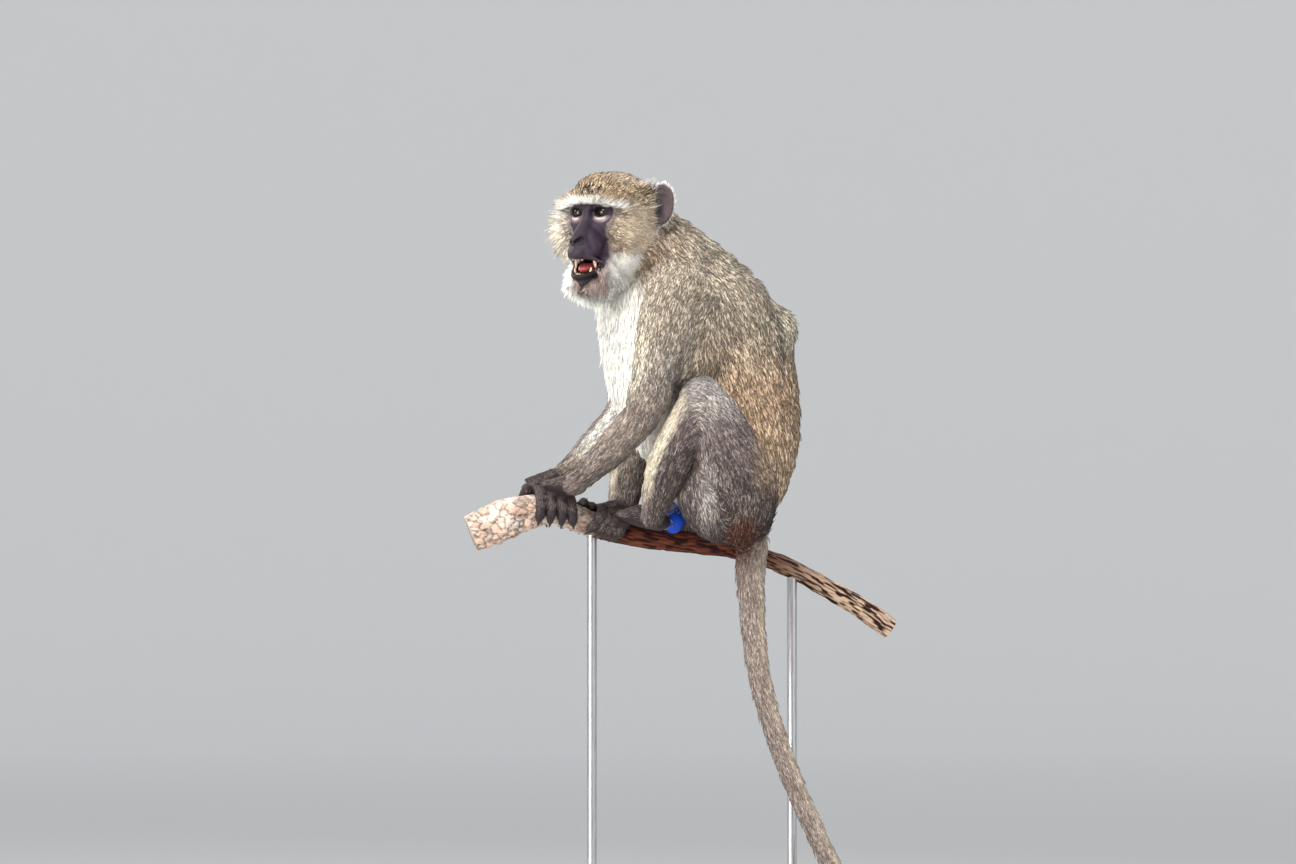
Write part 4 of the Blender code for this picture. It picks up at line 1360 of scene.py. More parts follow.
@dataclass
class Skin:
    """The animal's one seamless skin, and what it carries at each point."""

    head: Head = field(default_factory=Head)
    points: Array = field(init=False)
    faces: Array = field(init=False)
    normals: Array = field(init=False)
    masses: list[Mass] = field(init=False)
    shares: Array = field(init=False)       # how much each point belongs to each zone
    lie: Array = field(init=False)          # the way the coat lies there

    def shape(self) -> None:
        """Models the clay and draws the skin over it."""
        clay = Clay([
            graded_axis(-0.185, 0.190, 0.0040, [(-0.172, -0.030, 0.0019),
                                                (-0.147, -0.088, 0.0010)]),
            graded_axis(-0.112, 0.112, 0.0038, [(-0.050, 0.046, 0.0018), (-0.094, -0.006, 0.0011)]),
            graded_axis(0.060, 0.990, 0.0042, [(0.608, 0.690, 0.0018), (0.845, 0.985, 0.0017),
                                               (0.862, 0.958, 0.0010)]),
        ])
        head = self.head
        arms, legs = [Arm(s) for s in (LEFT, RIGHT)], [Leg(s) for s in (LEFT, RIGHT)]
        shells, cups, folds = head.ears()
        self.masses = []
        for added, hollowed in ((head.skull(), head.hollows()), (head.lids(), head.eye_slits()),
                                (head.jaw(), head.mouth()), (head.lips(), [])):
            clay.add(added)
            clay.carve(hollowed)
            self.masses += added
        ears = Clay(clay.axes)
        ears.add(shells)
        ears.carve(cups)
        ears.add(folds)
        clay.values = soft_least(clay.values, ears.values, 0.003)
        body = Trunk().masses() + Tail().masses()
        for limb in (*arms, *legs):
            body += limb.masses()
        for arm, leg in zip(arms, legs):
            body += arm.hand() + leg.foot()
        body += [Ball(Zone.SCROTUM, (-0.0195, -0.015, 0.6300), (0.0108, 0.0118, 0.0138),
                      (12, 8, 0), blend=0.005),
                 Ball(Zone.SCROTUM, (-0.0140, 0.001, 0.6330), (0.0100, 0.011, 0.013), blend=0.008)]
        clay.add(body)
        self.masses += shells + folds + body
        self.points, self.faces = clay.surface()
        self.ease(2, 0.45)
        self.normals = self.point_normals()

    def ease(self, passes: int, amount: float) -> None:
        """Smooths the points, and takes most of the shrinking back.

        Args:
            passes: How often.
            amount: How far a point goes towards its neighbours' middle.
        """
        starts = self.faces.ravel()
        ends = np.roll(self.faces, -1, axis=1).ravel()
        pairs = (np.concatenate([starts, ends]), np.concatenate([ends, starts]))
        count = np.bincount(pairs[0], minlength=len(self.points))[:, None]
        for share in [amount, -amount * 0.9] * passes:
            middle = np.stack([np.bincount(pairs[0], self.points[pairs[1], i], len(self.points))
                               for i in range(3)], axis=1) / np.maximum(count, 1)
            self.points = self.points + (middle - self.points) * share

    def point_normals(self) -> Array:
        """The direction out of the skin at each point."""
        corners = self.points[self.faces]
        across = np.cross(corners[:, 2] - corners[:, 0], corners[:, 3] - corners[:, 1])
        total = np.zeros_like(self.points)
        for k, i in itertools.product(range(4), range(3)):
            total[:, i] += np.bincount(self.faces[:, k], across[:, i], len(self.points))
        return unit(total)

    def survey(self) -> None:
        """Finds what zone each point is in, and the lie of the coat there."""
        reach = 0.0045      # how far one zone fades into the next
        self.shares = np.zeros((len(self.points), len(Zone)))
        self.lie = np.zeros_like(self.points)
        for mass in self.masses:
            gap = mass.distance(self.points.astype(np.float32))
            share = np.exp(-np.maximum(gap, 0) / reach)
            kind = mass.zone.value
            stronger = share > self.shares[:, kind]
            self.shares[stronger, kind] = share[stronger]
            if isinstance(mass, Limb) and mass.zone not in (Zone.HEAD, Zone.EAR):
                self.lie += mass.flow(self.points.astype(np.float32)) * (share**3)[:, None]
        self.shares **= 3
        self.shares /= np.maximum(self.shares.sum(axis=1, keepdims=True), 1e-9)

    def zone(self, *zones: Zone) -> Array:
        """How much each point belongs to some zones."""
        return sum(self.shares[:, zone.value] for zone in zones)


# --- Markings and the coat's style ---
class Tone(Enum):
    """The coat's and the skin's colours."""

    OLIVE = srgb(0.77, 0.71, 0.63)
    GOLD = srgb(0.835, 0.695, 0.56)
    CROWN = srgb(0.76, 0.65, 0.51)
    GREY = srgb(0.475, 0.420, 0.415)
    SILVER = srgb(0.76, 0.73, 0.71)
    DUSK = srgb(0.35, 0.305, 0.30)
    CREAM = srgb(0.90, 0.85, 0.76)
    WHITE = srgb(0.97, 0.96, 0.93)
    TEMPLE = srgb(0.905, 0.815, 0.71)
    BUFF = srgb(0.77, 0.70, 0.635)
    BLACK = srgb(0.075, 0.065, 0.075)
    MASK = srgb(0.212, 0.172, 0.222)
    MUZZLE = srgb(0.252, 0.205, 0.262)
    LID = srgb(0.83, 0.775, 0.77)
    CHIN = srgb(0.62, 0.455, 0.40)
    EAR = srgb(0.325, 0.275, 0.285)
    PALM = srgb(0.20, 0.16, 0.17)
    BLUE = srgb(0.10, 0.32, 0.80)
    RUST = srgb(0.37, 0.18, 0.12)
    GULLET = srgb(0.40, 0.13, 0.13)
    PINK = srgb(0.62, 0.50, 0.50)

    @property
    def light(self) -> Array:
        """The colour as an array."""
        return np.array(self.value)


@dataclass
class Coat:
    """What the coat is like at each point of the skin. Lengths are in metres."""

    skin: Skin
    colour: Array = field(init=False)
    under: Array = field(init=False)        # the skin's colour, with painted shade below the brow, in the nostrils and in the ears
    dullness: Array = field(init=False)     # the skin's roughness
    length: Array = field(init=False)
    width: Array = field(init=False)
    lift: Array = field(init=False)
    density: Array = field(init=False)
    ticking: Array = field(init=False)
    lie: Array = field(init=False)
    widow: Array = field(init=False)        # how much it is the dark peak over the brow
    mask: Array = field(init=False)         # how much it is the bare face
    auricle: Array = field(init=False)      # the ears' colours, with painted light and shade in their cups

    def settle(self) -> None:
        """Works all of it out, from what is usual to what lies over it."""
        self.by_zone()
        self.mark_trunk()
        self.mark_shoulders()
        self.mark_legs()
        self.mark_accents()
        self.mark_tail_and_hips()
        self.mark_cheeks()
        self.mark_brow()
        self.mark_chin()
        self.comb_head()
        self.mark_ears()
        self.mark_face()
        self.mark_bare()
        self.comb()

    def by_zone(self) -> None:
        """Starts from what is usual in each zone."""
        usual = {       # colour, length and width in mm, lift in degrees, locks to a mm2, ticking
            Zone.HEAD: (Tone.CROWN, 8.0, 0.70, 13, 2.00, 1.3),
            Zone.EAR: (Tone.WHITE, 5.0, 0.55, 30, 0.35, 0.0),
            Zone.NECK: (Tone.OLIVE, 13.0, 0.95, 12, 1.10, 0.95),
            Zone.TRUNK: (Tone.OLIVE, 14.0, 1.10, 11, 0.78, 0.95),
            Zone.UPPER_ARM: (Tone.OLIVE, 13.0, 1.10, 10, 0.80, 0.8),
            Zone.FOREARM: (Tone.GREY, 11.5, 1.00, 10, 0.95, 0.65),
            Zone.HAND: (Tone.DUSK, 5.0, 0.65, 12, 1.00, 0.4),
            Zone.THIGH: (Tone.GREY, 12.5, 1.10, 9, 0.80, 0.75),
            Zone.SHANK: (Tone.GREY, 11.0, 1.00, 9, 0.90, 0.65),
            Zone.FOOT: (Tone.DUSK, 5.0, 0.65, 12, 1.00, 0.4),
            Zone.TAIL: (Tone.BUFF, 11.0, 1.00, 10, 1.00, 0.55),
            Zone.SCROTUM: (Tone.BLUE, 3.0, 0.6, 10, 0.0, 0.0),
        }
        table = np.array([[*usual[zone][0].value, *usual[zone][1:]] for zone in Zone])
        rows = self.skin.shares @ table
        self.colour = rows[:, :3]
        self.length, self.width = rows[:, 3] * MM, rows[:, 4] * MM
        self.lift, self.density, self.ticking = np.radians(rows[:, 5]), rows[:, 6], rows[:, 7]
        self.lie = self.skin.lie.copy()
        self.dullness = np.full(len(rows), 0.8)

    def paint(self, tone: Tone, share: Array) -> None:
        """Lays a colour over what is there."""
        self.colour = mix(self.colour, tone.light, np.clip(share, 0, 1))

    def style(self, share: Array, **sizes: float) -> None:
        """Moves the coat's sizes towards new ones.

        Args:
            share: How far, at each point.
            sizes: length and width in millimetres, lift in degrees, density in locks to a square
                millimetre, ticking from 0 to 1.
        """
        share = np.clip(share, 0, 1)
        units = {"length": MM, "width": MM, "lift": math.pi / 180}
        for name, size in sizes.items():
            new = np.full_like(share, size * units.get(name, 1.0))
            setattr(self, name, mix(getattr(self, name), new, share))

    def mark(self, share: Array, tone: Tone, **sizes: float) -> None:
        """Paints and styles the same stretch of coat."""
        self.paint(tone, share)
        self.style(share, **sizes)

    def mark_trunk(self) -> None:
        """Golden flanks over a white chest and belly."""
        skin = self.skin
        x, _, z = skin.points.T
        trunk = skin.zone(Zone.TRUNK, Zone.NECK)
        core = next(m for m in skin.masses if isinstance(m, Limb) and m.zone == Zone.TRUNK)
        deep = core.survey(skin.points.astype(np.float32))[0]
        facing = deep if deep[np.argmin(x)] < 0 else -deep      # -1 on the belly, 1 on the back
        flank = trunk * step(0.850, 0.740, z) * 0.9
        self.paint(Tone.GOLD, flank * step(-0.35, 0.15, facing))
        self.paint(Tone.GOLD, trunk * step(0.76, 0.68, z) * 0.9)
        # painted light: the lower trunk on the belly side lightened where it turns under into shade
        self.paint(Tone.CREAM, trunk * step(0.74, 0.70, z) * step(0.1, -0.2, facing) * 0.3)
        white = trunk * step(-0.30, -0.62, facing + 0.08 * drift(skin.points, 0.02, 11))
        white *= step(0.640, 0.670, z)
        self.mark(white, Tone.WHITE, length=18, lift=15, ticking=0.0)
        self.style(trunk * step(0.72, 0.66, z) * step(0.0, 0.5, facing), length=9, lift=7)
        self.lie += white[:, None] * np.array((0, 0, -1.5))

    def mark_shoulders(self) -> None:
        """Upper arms that pale and darken by turns, and the pale sides of the neck."""
        x, _, z = self.skin.points.T
        arm, neck = self.skin.zone(Zone.UPPER_ARM), self.skin.zone(Zone.NECK)
        self.paint(Tone.GREY, arm * step(0.885, 0.850, z) * 0.34)
        self.paint(Tone.SILVER, arm * step(0.830, 0.800, z) * 0.30)
        self.paint(Tone.GREY, arm * step(0.810, 0.735, z) * 0.80)
        front = step(0.25, 0.90, -self.skin.normals[:, 0]) * step(0.715, 0.755, z)
        self.paint(Tone.CREAM, arm * front * 0.7)
        self.paint(Tone.CREAM, neck * step(0.870, 0.915, z) * 0.45)
        beside = neck * step(0.865, 0.895, z) * step(0.000, -0.022, x)
        self.paint(Tone.GOLD, beside * 0.65)
        self.paint(Tone.GREY, beside * 0.24)

    def mark_legs(self) -> None:
        """The pale inner sides of all limbs, and grey legs, paler at the knee and darker downwards
        partly as painted light and shade.
        """
        _, y, z = self.skin.points.T
        zone = self.skin.zone
        inner = step(0.35, 0.75, -self.skin.normals[:, 1] * np.sign(y)) * (np.abs(y) > 0.02)
        for limb, amount in ((Zone.UPPER_ARM, 0.95), (Zone.FOREARM, 0.6), (Zone.THIGH, 0.4),
                             (Zone.SHANK, 0.5)):
            self.paint(Tone.CREAM, zone(limb) * inner * amount)
        thigh = zone(Zone.THIGH)
        # partly painted light: the top of the thigh, up to the knee, paler as it is lit from above
        self.paint(Tone.SILVER, thigh * step(0.70, 0.765, z))
        # partly painted shade: the thigh and the shank darker low down, under the body
        self.paint(Tone.DUSK, thigh * step(0.71, 0.64, z))
        self.paint(Tone.DUSK, zone(Zone.SHANK) * step(0.74, 0.68, z) * 0.8)
        fold = patch(self.skin.points, (0.0, 0.0, 0.655), (0.007, math.inf, 0.026))
        self.paint(Tone.SILVER, thigh * fold * step(-0.05, -0.065, y) * 0.7)

    def mark_accents(self) -> None:
        """Pale hump and stripes, dark wrists and ankles, and painted light and shade on the back and
        rump.
        """
        x, y, z = self.skin.points.T
        outward = self.skin.normals
        zone = self.skin.zone
        trunk, forearm, shank = zone(Zone.TRUNK, Zone.NECK), zone(Zone.FOREARM), zone(Zone.SHANK)
        self.paint(Tone.BUFF, forearm * 0.35)
        # painted light: the hump paler, as the top of the back is lit from above
        hump = patch(self.skin.points, (0.096, 0, 0.828), (0.018, math.inf, 0.022))
        self.paint(Tone.CREAM, trunk * hump * 1.2)
        # painted shade: the lowest part of the trunk darkened beneath the rump
        self.paint(Tone.DUSK, trunk * step(0.642, 0.622, z) * 0.9)
        stripe = shank * step(0.45, 0.75, -outward[:, 0])
        self.mark(stripe, Tone.CREAM, ticking=0.35)
        # painted shadow: a dark line on the back under the hump, standing in for the shade of a
        # groove there
        groove = np.hypot((x - 0.082 + 0.04 * (z - 0.838)) / 0.0045, (z - 0.812) / 0.034)
        self.paint(Tone.BLACK, trunk * step(1.4, 0.6, groove) * step(-0.012, -0.020, y) * 0.55)
        lit = step(0.20, 0.55, -outward[:, 1] * np.sign(y)) * (np.abs(y) > 0.02)
        lit *= zone(Zone.UPPER_ARM, Zone.FOREARM)
        self.paint(Tone.WHITE, lit * step(0.690, 0.720, z) * 0.85)
        self.paint(Tone.DUSK, forearm * step(0.720, 0.665, z) * 0.8)
        self.paint(Tone.DUSK, shank * step(0.685, 0.640, z) * 0.85)
        self.style(forearm * step(0.70, 0.66, z), length=8.5, width=0.85)
        self.style(shank * step(0.67, 0.64, z), length=8, width=0.85)

    def mark_tail_and_hips(self) -> None:
        """A tail that is grey above and dark at its tip, rust at its root, warm hips, and painted
        light on the low flank.
        """
        x, _, z = self.skin.points.T
        zone, outward = self.skin.zone, self.skin.normals
        tail, thigh = zone(Zone.TAIL), zone(Zone.THIGH)
        above = step(-0.2, 0.5, -outward[:, 0] * 0.9 - outward[:, 1] * 0.35)
        self.paint(Tone.GREY, tail * above * 0.7)
        self.paint(Tone.DUSK, tail * step(0.13, 0.08, z) * 0.9)
        self.style(tail * step(0.13, 0.07, z), length=15, lift=13)
        rust = patch(self.skin.points, (0.036, -0.045, 0.611), (0.016, 0.035, 0.016))
        self.paint(Tone.RUST, rust * 2.2)
        # painted light: the low flank beside the thigh lightened against the shade there, then
        # warmed with gold
        low_flank = zone(Zone.TRUNK, Zone.NECK) * step(0.745, 0.700, z) * step(0.048, 0.075, x)
        low_flank *= step(0.645, 0.665, z)
        self.paint(Tone.TEMPLE, low_flank * 0.55)
        self.paint(Tone.GOLD, low_flank * 0.45)
        self.paint(Tone.GOLD, thigh * step(0.040, 0.072, x) * step(0.632, 0.690, z) * 0.75)
        self.lie += (thigh * 0.4)[:, None] * np.array((0.2, 0, -1.0))

    def head_places(self) -> tuple[Array, ...]:
        """Where the skin is on the head, in millimetres.

        Returns:
            How much it is head, its x, y and z, its distance from the middle, how far back it
            lies as seen from the side, and its height with the brow's arch straightened.
        """
        hx, hy, hz = in_head(self.skin.points).T
        ax = np.abs(hy)
        return (self.skin.zone(Zone.HEAD), hx, hy, hz, ax, 0.819 * ax - 0.573 * hx,
                hz + 0.006 * ax**2)

    def mark_cheeks(self) -> None:
        """Warm temples, white cheeks, and a ruff that stands out on the far side."""
        head, hx, hy, hz, ax, back, _ = self.head_places()
        far = step(5, -5, hy)
        side_face = head * step(13, 3, hz + 0.15 * (hx + 20)) * step(-74, -50, hx)
        self.mark(side_face, Tone.TEMPLE, length=9.5, lift=14, width=0.6, ticking=1.05,
                  density=2.6)
        cheek = head * step(-32, -42, hz + 1.5 * drift(self.skin.points, 0.003, 23))
        cheek *= step(55, 43, back - 0.4 * (hz + 42))
        self.mark(cheek, Tone.WHITE, length=10, lift=17, ticking=0.15, width=0.55)
        ruff = head * step(26, 34, ax) * step(9, -1, hz) * step(-46, -34, hz)
        ruff *= step(-54, -42, hx)
        self.style(ruff * (1 - far), length=12, lift=15, width=0.6, ticking=0.55)
        self.style(ruff * far, length=19, lift=40, width=0.48, ticking=0.65)
        self.paint(Tone.CREAM, ruff * (0.25 + 0.7 * far))
        swept = head * step(-40, -52, hx) * step(2, -12, hz)
        self.style(swept, length=14, lift=12, ticking=0.5)
        self.paint(Tone.CREAM, swept * 0.55)

    def mark_brow(self) -> None:
        """The white brow with its tufts, and the paler hair before the ears."""
        head, hx, hy, hz, ax, back, bow = self.head_places()
        far = step(5, -5, hy)
        ragged = 2.0 * drift(self.skin.points, 0.0035, 25)
        brow = head * step(-24, -16, hx) * step(7, 8.5, bow)
        brow *= step(12.5, 9.5, bow - 0.08 * ax + ragged) * step(38, 31, ax) * step(40, 28, back)
        self.mark(brow, Tone.WHITE, length=9.5, lift=30, width=0.45, ticking=0.10, density=3.8)
        tuft = head * step(22, 28, ax) * step(-8, 0, hz) * step(13, 7, hz) * step(-24, -16, hx)
        self.paint(Tone.WHITE, tuft * (0.25 + 0.6 * far) * step(36, 24, back))
        self.style(tuft * (0.3 + 0.7 * far), length=17, lift=48, width=0.38, ticking=0.4,
                   density=1.7)
        fore_cheek = head * step(40, 30, back) * step(4, -4, hz) * step(-46, -38, hz) * far
        self.paint(Tone.WHITE, fore_cheek * 0.35)
        crest = 1.2 * head * patch(np.stack([hx, ax, hz], axis=1), (-55, 30, 25), (8, 6, 6))
        self.mark(crest, Tone.WHITE, length=13, lift=36, width=0.5, ticking=0.1)
        before_ear = head * step(-32, -40, hx) * step(29, 34, ax) * step(-14, -8, hz)
        self.style(before_ear, length=15, lift=26, width=0.5)
        self.paint(Tone.WHITE, before_ear * step(-42, -48, hx) * step(17, 23, hz))

    def mark_chin(self) -> None:
        """White whiskers and chin, a rusty spot on the cheek, and the dark widow's peak."""
        head, hx, hy, hz, ax, _, _ = self.head_places()
        whiskers = head * step(5, -5, hy) * step(4, 9, ax) * step(-42, -47, hz) * step(-8, 0, hx)
        self.mark(whiskers, Tone.WHITE, length=10, lift=44, width=0.5, density=3.2, ticking=0.0)
        chin = head * step(-62, -68, hz + 0.2 * hx - 7 * step(4, 0, hy))
        self.mark(chin, Tone.WHITE, length=12, lift=28, width=0.55, ticking=0.0, density=3.0)
        spot = patch(np.stack([hx, ax, hz], axis=1), (-12, 22, -33), (5, 5, 4.5))
        self.paint(Tone.RUST, head * spot * 0.75)
        self.widow = head * step(-26, -20, hx) * step(14, 8, np.abs(hy - 2))
        self.widow *= step(10, 13, hz) * step(26, 22, hz)

    def comb_head(self) -> None:
        """Lays the head's coat away from the face, back and down the cheeks."""
        head, hx, _, hz, ax, _, _ = self.head_places()
        source = from_head((4, 0, -14))
        lie = unit(self.skin.points - source)
        lie += 0.5 * unit(from_head((-1000, 0, 0)) - source) * step(-5, -40, hx)[:, None]
        lie[:, 2] -= 0.25 * step(8, 0, hz) * step(18, 28, ax) + 0.7 * step(-30, -60, hz)
        chin = step(-58, -68, hz) * step(-12, 2, hx)
        lie += 0.6 * unit(from_head((1000, 0, 0)) - source) * chin[:, None]
        self.lie = self.lie * (1 - head)[:, None] + lie * (head * 2)[:, None]

    def mark_ears(self) -> None:
        """Leaves the ears all but bare, with a pale fringe at the rim and painted shade in their
        cups.
        """
        skin = self.skin
        half_wide, half_high = 13.8, 20.4
        ear = skin.zone(Zone.EAR)
        self.paint(Tone.WHITE, ear * 0.8)
        self.auricle = np.broadcast_to(Tone.EAR.light, self.colour.shape)
        for side in (LEFT, RIGHT):
            frame_of_ear = skin.head.ear_frame(side)
            place = np.array(frame_of_ear.inverted())
            x, y, z = (skin.points @ place[:3, :3].T + place[:3, 3]).T / MM
            radius = np.hypot(x / half_wide, z / half_high)
            here = ear * ((np.abs(y) < 12) & (radius < 1.5))
            away = unit(skin.points - np.array(frame_of_ear.translation))
            self.lie = mix(self.lie, away, np.clip(here, 0, 1))
            self.style(here * step(0.94, 1.02, radius), length=5.5, lift=24, width=0.30,
                       density=0.40, ticking=0.0)
            inside = here * step(0.96, 0.90, radius)
            self.density *= 1 - inside
            front = here * step(5.0, 9.5, x - 0.10 * z)
            self.lie = mix(self.lie, np.broadcast_to(-place[0, :3], self.lie.shape), front)
            self.paint(Tone.SILVER, front * 0.8)
            self.style(front, length=8, lift=20, width=0.35, density=0.8, ticking=1.3)
            back = inside * (1 - front)
            self.lie = mix(self.lie, np.broadcast_to((0.4, 0.0, 0.9), self.lie.shape), back)
            self.mark(back, Tone.GREY, length=5, lift=8, width=0.25, density=0.45)
            # painted light and shade: the cup lighter at its rim, darker towards its hollow and low
            # down
            hollow = step(0.85, 0.35, np.hypot((x - 3.5) / 10.5, (z + 3) / 15))
            shade = mix(Tone.EAR.light * 1.25, Tone.BLACK.light, hollow * 0.75)
            shade = mix(shade, Tone.EAR.light * 0.7, step(0, -14, z) * 0.6)
            self.auricle = mix(self.auricle, shade, here)

    def mark_face(self) -> None:
        """Bares the dark face, and colours it."""
        head, hx, hy, hz, ax, back, bow = self.head_places()
        edge = np.interp(hz, (-78, -75, -72, -68, -64, -60, -50, -42, -31, -21, -11, -1, 8),
                         (0, 1.5, 4.5, 8.5, 11.5, 13, 17.5, 18.5, 17.5, 19, 23, 27.5, 27))
        ragged = 2.2 * drift(self.skin.points, 0.0035, 21)
        beyond = np.abs(hy - 4 * step(-57, -64, hz)) - edge + ragged     # past the face's edge
        beyond += (1.8 - 0.8 * ragged) * step(4, 0, hy) * step(-56, -62, hz)
        mask = head * step(1.8, -1.8, beyond) * step(-26, -20, hx) * step(-80, -76, hz)
        mask *= step(9.5, 7.5, bow + 0.6 * ragged)
        mask *= step(-3, 2, hx + 0.9 * (hz + 100))      # not the throat
        jowl = head * step(23, 15, back + ragged) * step(-82, -76, hz) * step(-44, -50, hz)
        jowl *= step(22, 17, ax) * step(-14, -8, hx) * (1 - step(0, -9, hy))
        rimmed = head * step(7, 0, beyond) * step(-52, -44, hz) * step(3, -3, hz)
        self.paint(Tone.DUSK, rimmed * 0.6)
        mask = np.maximum(mask, 0.9 * jowl)
        base = mix(self.colour * 0.72, Tone.PINK.light, np.full(len(hx), 0.12))
        bare = np.broadcast_to(Tone.MASK.light, base.shape)
        local = np.stack([hx, ax, hz], axis=1)      # both sides folded onto one
        lip = head * step(5.0, 3.4, gap_to(local, self.skin.head.lower_lip[3:]))
        pouch = np.hypot((ax - 15) / 7.4, (hz + 7.2 - 0.03 * (ax - 15)**2) / 3.1)
        gullet = head * step(-44.5, -46.5, hz) * step(-60.5, -58.5, hz) * step(17, 15, ax)
        gullet *= step(24, 20, hx) * (1 - step(-0.2, 0.5, self.outward())) * step(1, 5, hx)
        for tone, share in (
                # the muzzle, its darker tip, and the dark below the mouth
                (Tone.MUZZLE.light, step(-18, -34, hz) * 0.7),
                (Tone.MASK.light * 0.5, step(20, 24, hx) * 0.6),
                (Tone.BLACK.light, step(-55, -60, hz) * 0.85),
                # the paler chin, with the corners of the jaw
                (Tone.CHIN.light, step(-56, -62, hz) * step(-1.0, 1.5, beyond - 0.5 * ragged)),
                (Tone.CHIN.light, step(13.5, 17, ax) * step(-51, -57, hz) * 0.7),
                # the black lower lip, and painted shade in the nostrils
                (Tone.BLACK.light, lip),
                (Tone.BLACK.light * 0.3, step(2.8, 1.9, gap_to(local, self.skin.head.nostril, 4))),
                # the pale pouch below the eye, and the dark rims of the lids
                (Tone.PINK.light, step(1.35, 0.95, pouch) * 0.5),
                (Tone.LID.light, step(1.0, 0.45, pouch + 0.06 * ragged) * 0.82),
                (Tone.BLACK.light, step(6.2, 5.0, np.hypot((ax - 14.6) / 1.4, hz + 0.2)) * 0.9),
                # the shade below the brow, the top of the nose, and the throat's inside
                (Tone.BLACK.light, step(2.5, 7.5, bow) * step(-14, -8, hx) * 0.8),
                (Tone.BLACK.light, step(6, 2.5, ax) * step(-9, -1, hz) * 0.5),
                (Tone.GULLET.light, gullet)):
            bare = mix(bare, tone, share)
        self.mask = np.maximum(mask, lip)
        self.under = mix(base, bare, self.mask)
        whisker = jowl * step(-1, 3, beyond)
        stubble = head * step(12, 17, back) * step(34, 26, back) * step(-54, -60, hz)
        stubble *= step(-90, -82, hz) * step(0, 6, hy)
        self.style(stubble, length=9, width=0.4, lift=22, ticking=0.6)
        self.density *= 1 - self.mask * (0.95 - 0.10 * whisker)
        self.style(whisker, length=7, width=0.4, lift=26)
        self.colour = mix(self.colour, Tone.CHIN.light * 1.2, whisker * 0.7)
        down = self.mask * (1 - whisker)
        self.style(down, length=2.2, width=0.35, lift=14, ticking=0.0)
        self.colour = mix(self.colour, Tone.MUZZLE.light * 1.5, down)
        self.paint(Tone.BLACK, down * step(-52, -58, hz))
        self.density *= 1 - gullet
        self.dullness = mix(self.dullness, np.full(len(hx), 0.44), self.mask)

    def mark_bare(self) -> None:
        """Colours the bare skin of hands, feet, ears and scrotum, and thins the coat there."""
        skin, zone = self.skin, self.skin.zone
        for part, tone in ((Zone.EAR, self.auricle), (Zone.HAND, Tone.PALM.light),
                           (Zone.FOOT, Tone.PALM.light), (Zone.SCROTUM, Tone.BLUE.light)):
            share = step(0.35, 0.75, zone(part))
            self.under = mix(self.under, tone, share)
            self.dullness = mix(self.dullness, np.full_like(share, 0.46), share)
        back_of = skin.normals[:, 2] + 0.5 * skin.normals[:, 1] * np.sign(skin.points[:, 1])
        for part, share in ((Zone.HAND, step(0.637, 0.648, skin.points[:, 2])), (Zone.FOOT, 0.8)):
            hairy = 0.8 * step(0.1, 0.6, back_of) * share
            self.density *= 1 - step(0.5, 0.9, zone(part)) * (1 - hairy)
        hung = step(0.3, 0.7, zone(Zone.SCROTUM))
        self.density += hung * 0.5 * step(0.634, 0.643, skin.points[:, 2])
        self.style(hung, length=6.5, width=0.5, lift=14)
        self.paint(Tone.SILVER, hung * 0.8)

    def outward(self) -> Array:
        """How much the skin faces away from the middle of the mouth."""
        middle = from_head((4, 0, -53))
        return (unit(self.skin.points - middle) * self.skin.normals).sum(axis=1)

    def comb(self) -> None:
        """Lays the coat's direction flat on the skin and smooths it."""
        normals = self.skin.normals
        faces = self.skin.faces
        for _ in range(4):
            self.lie = unit(flat_on(normals, self.lie))
            whole = np.zeros_like(self.lie)
            middle = self.lie[faces].mean(axis=1)
            for k, i in itertools.product(range(4), range(3)):
                whole[:, i] += np.bincount(faces[:, k], middle[:, i], len(self.lie))
            self.lie = whole
        self.lie = unit(flat_on(normals, self.lie))


# --- Locks ---
@dataclass
class Atlas:
    """An unwrap of the skin's own shape: each part slit along its length and laid flat."""

    skin: Skin
    sheets: dict[tuple[int, int], tuple[Array, Array, float, float]] = field(init=False)

    def __post_init__(self) -> None:
        """Finds the middle, the axes and the reach of each part, on each side of the body."""
        self.sheets = {}
        kinds = np.argmax(self.skin.shares, axis=1)
        for part, side in itertools.product(Zone, (LEFT, RIGHT)):
            here = (kinds == part.value) & ((self.skin.points[:, 1] >= 0) == (side == RIGHT))
            if not here.any():
                continue
            some = self.skin.points[here]
            core = some.mean(axis=0)
            axes = np.linalg.eigh(np.cov((some - core).T))[1][:, ::-1]
            along = (some - core) @ axes[:, 0]
            self.sheets[part.value, side] = (core, axes, float(along.min()), float(np.ptp(along)))

    def spots(self, places: Array, zone: Array) -> Array:
        """Where places lie in the map.

        Args:
            places: Places on the skin.
            zone: The number of the zone of each.

        Returns:
            Map coordinates from 0 to 1.
        """
        made = np.zeros((len(places), 2))
        for (part, side), (core, axes, start, reach) in self.sheets.items():
            here = (zone == part) & ((places[:, 1] >= 0) == (side == RIGHT))
            local = (places[here] - core) @ axes
            turn = np.arctan2(local[:, 2], local[:, 1]) / (2 * math.pi) + 0.5
            along = np.clip((local[:, 0] - start) / reach, 0, 1)
            made[here, 0] = (part + 0.04 + 0.92 * turn) / len(Zone)
            made[here, 1] = 0.02 + 0.46 * along + (0.5 if side == RIGHT else 0)
        return made


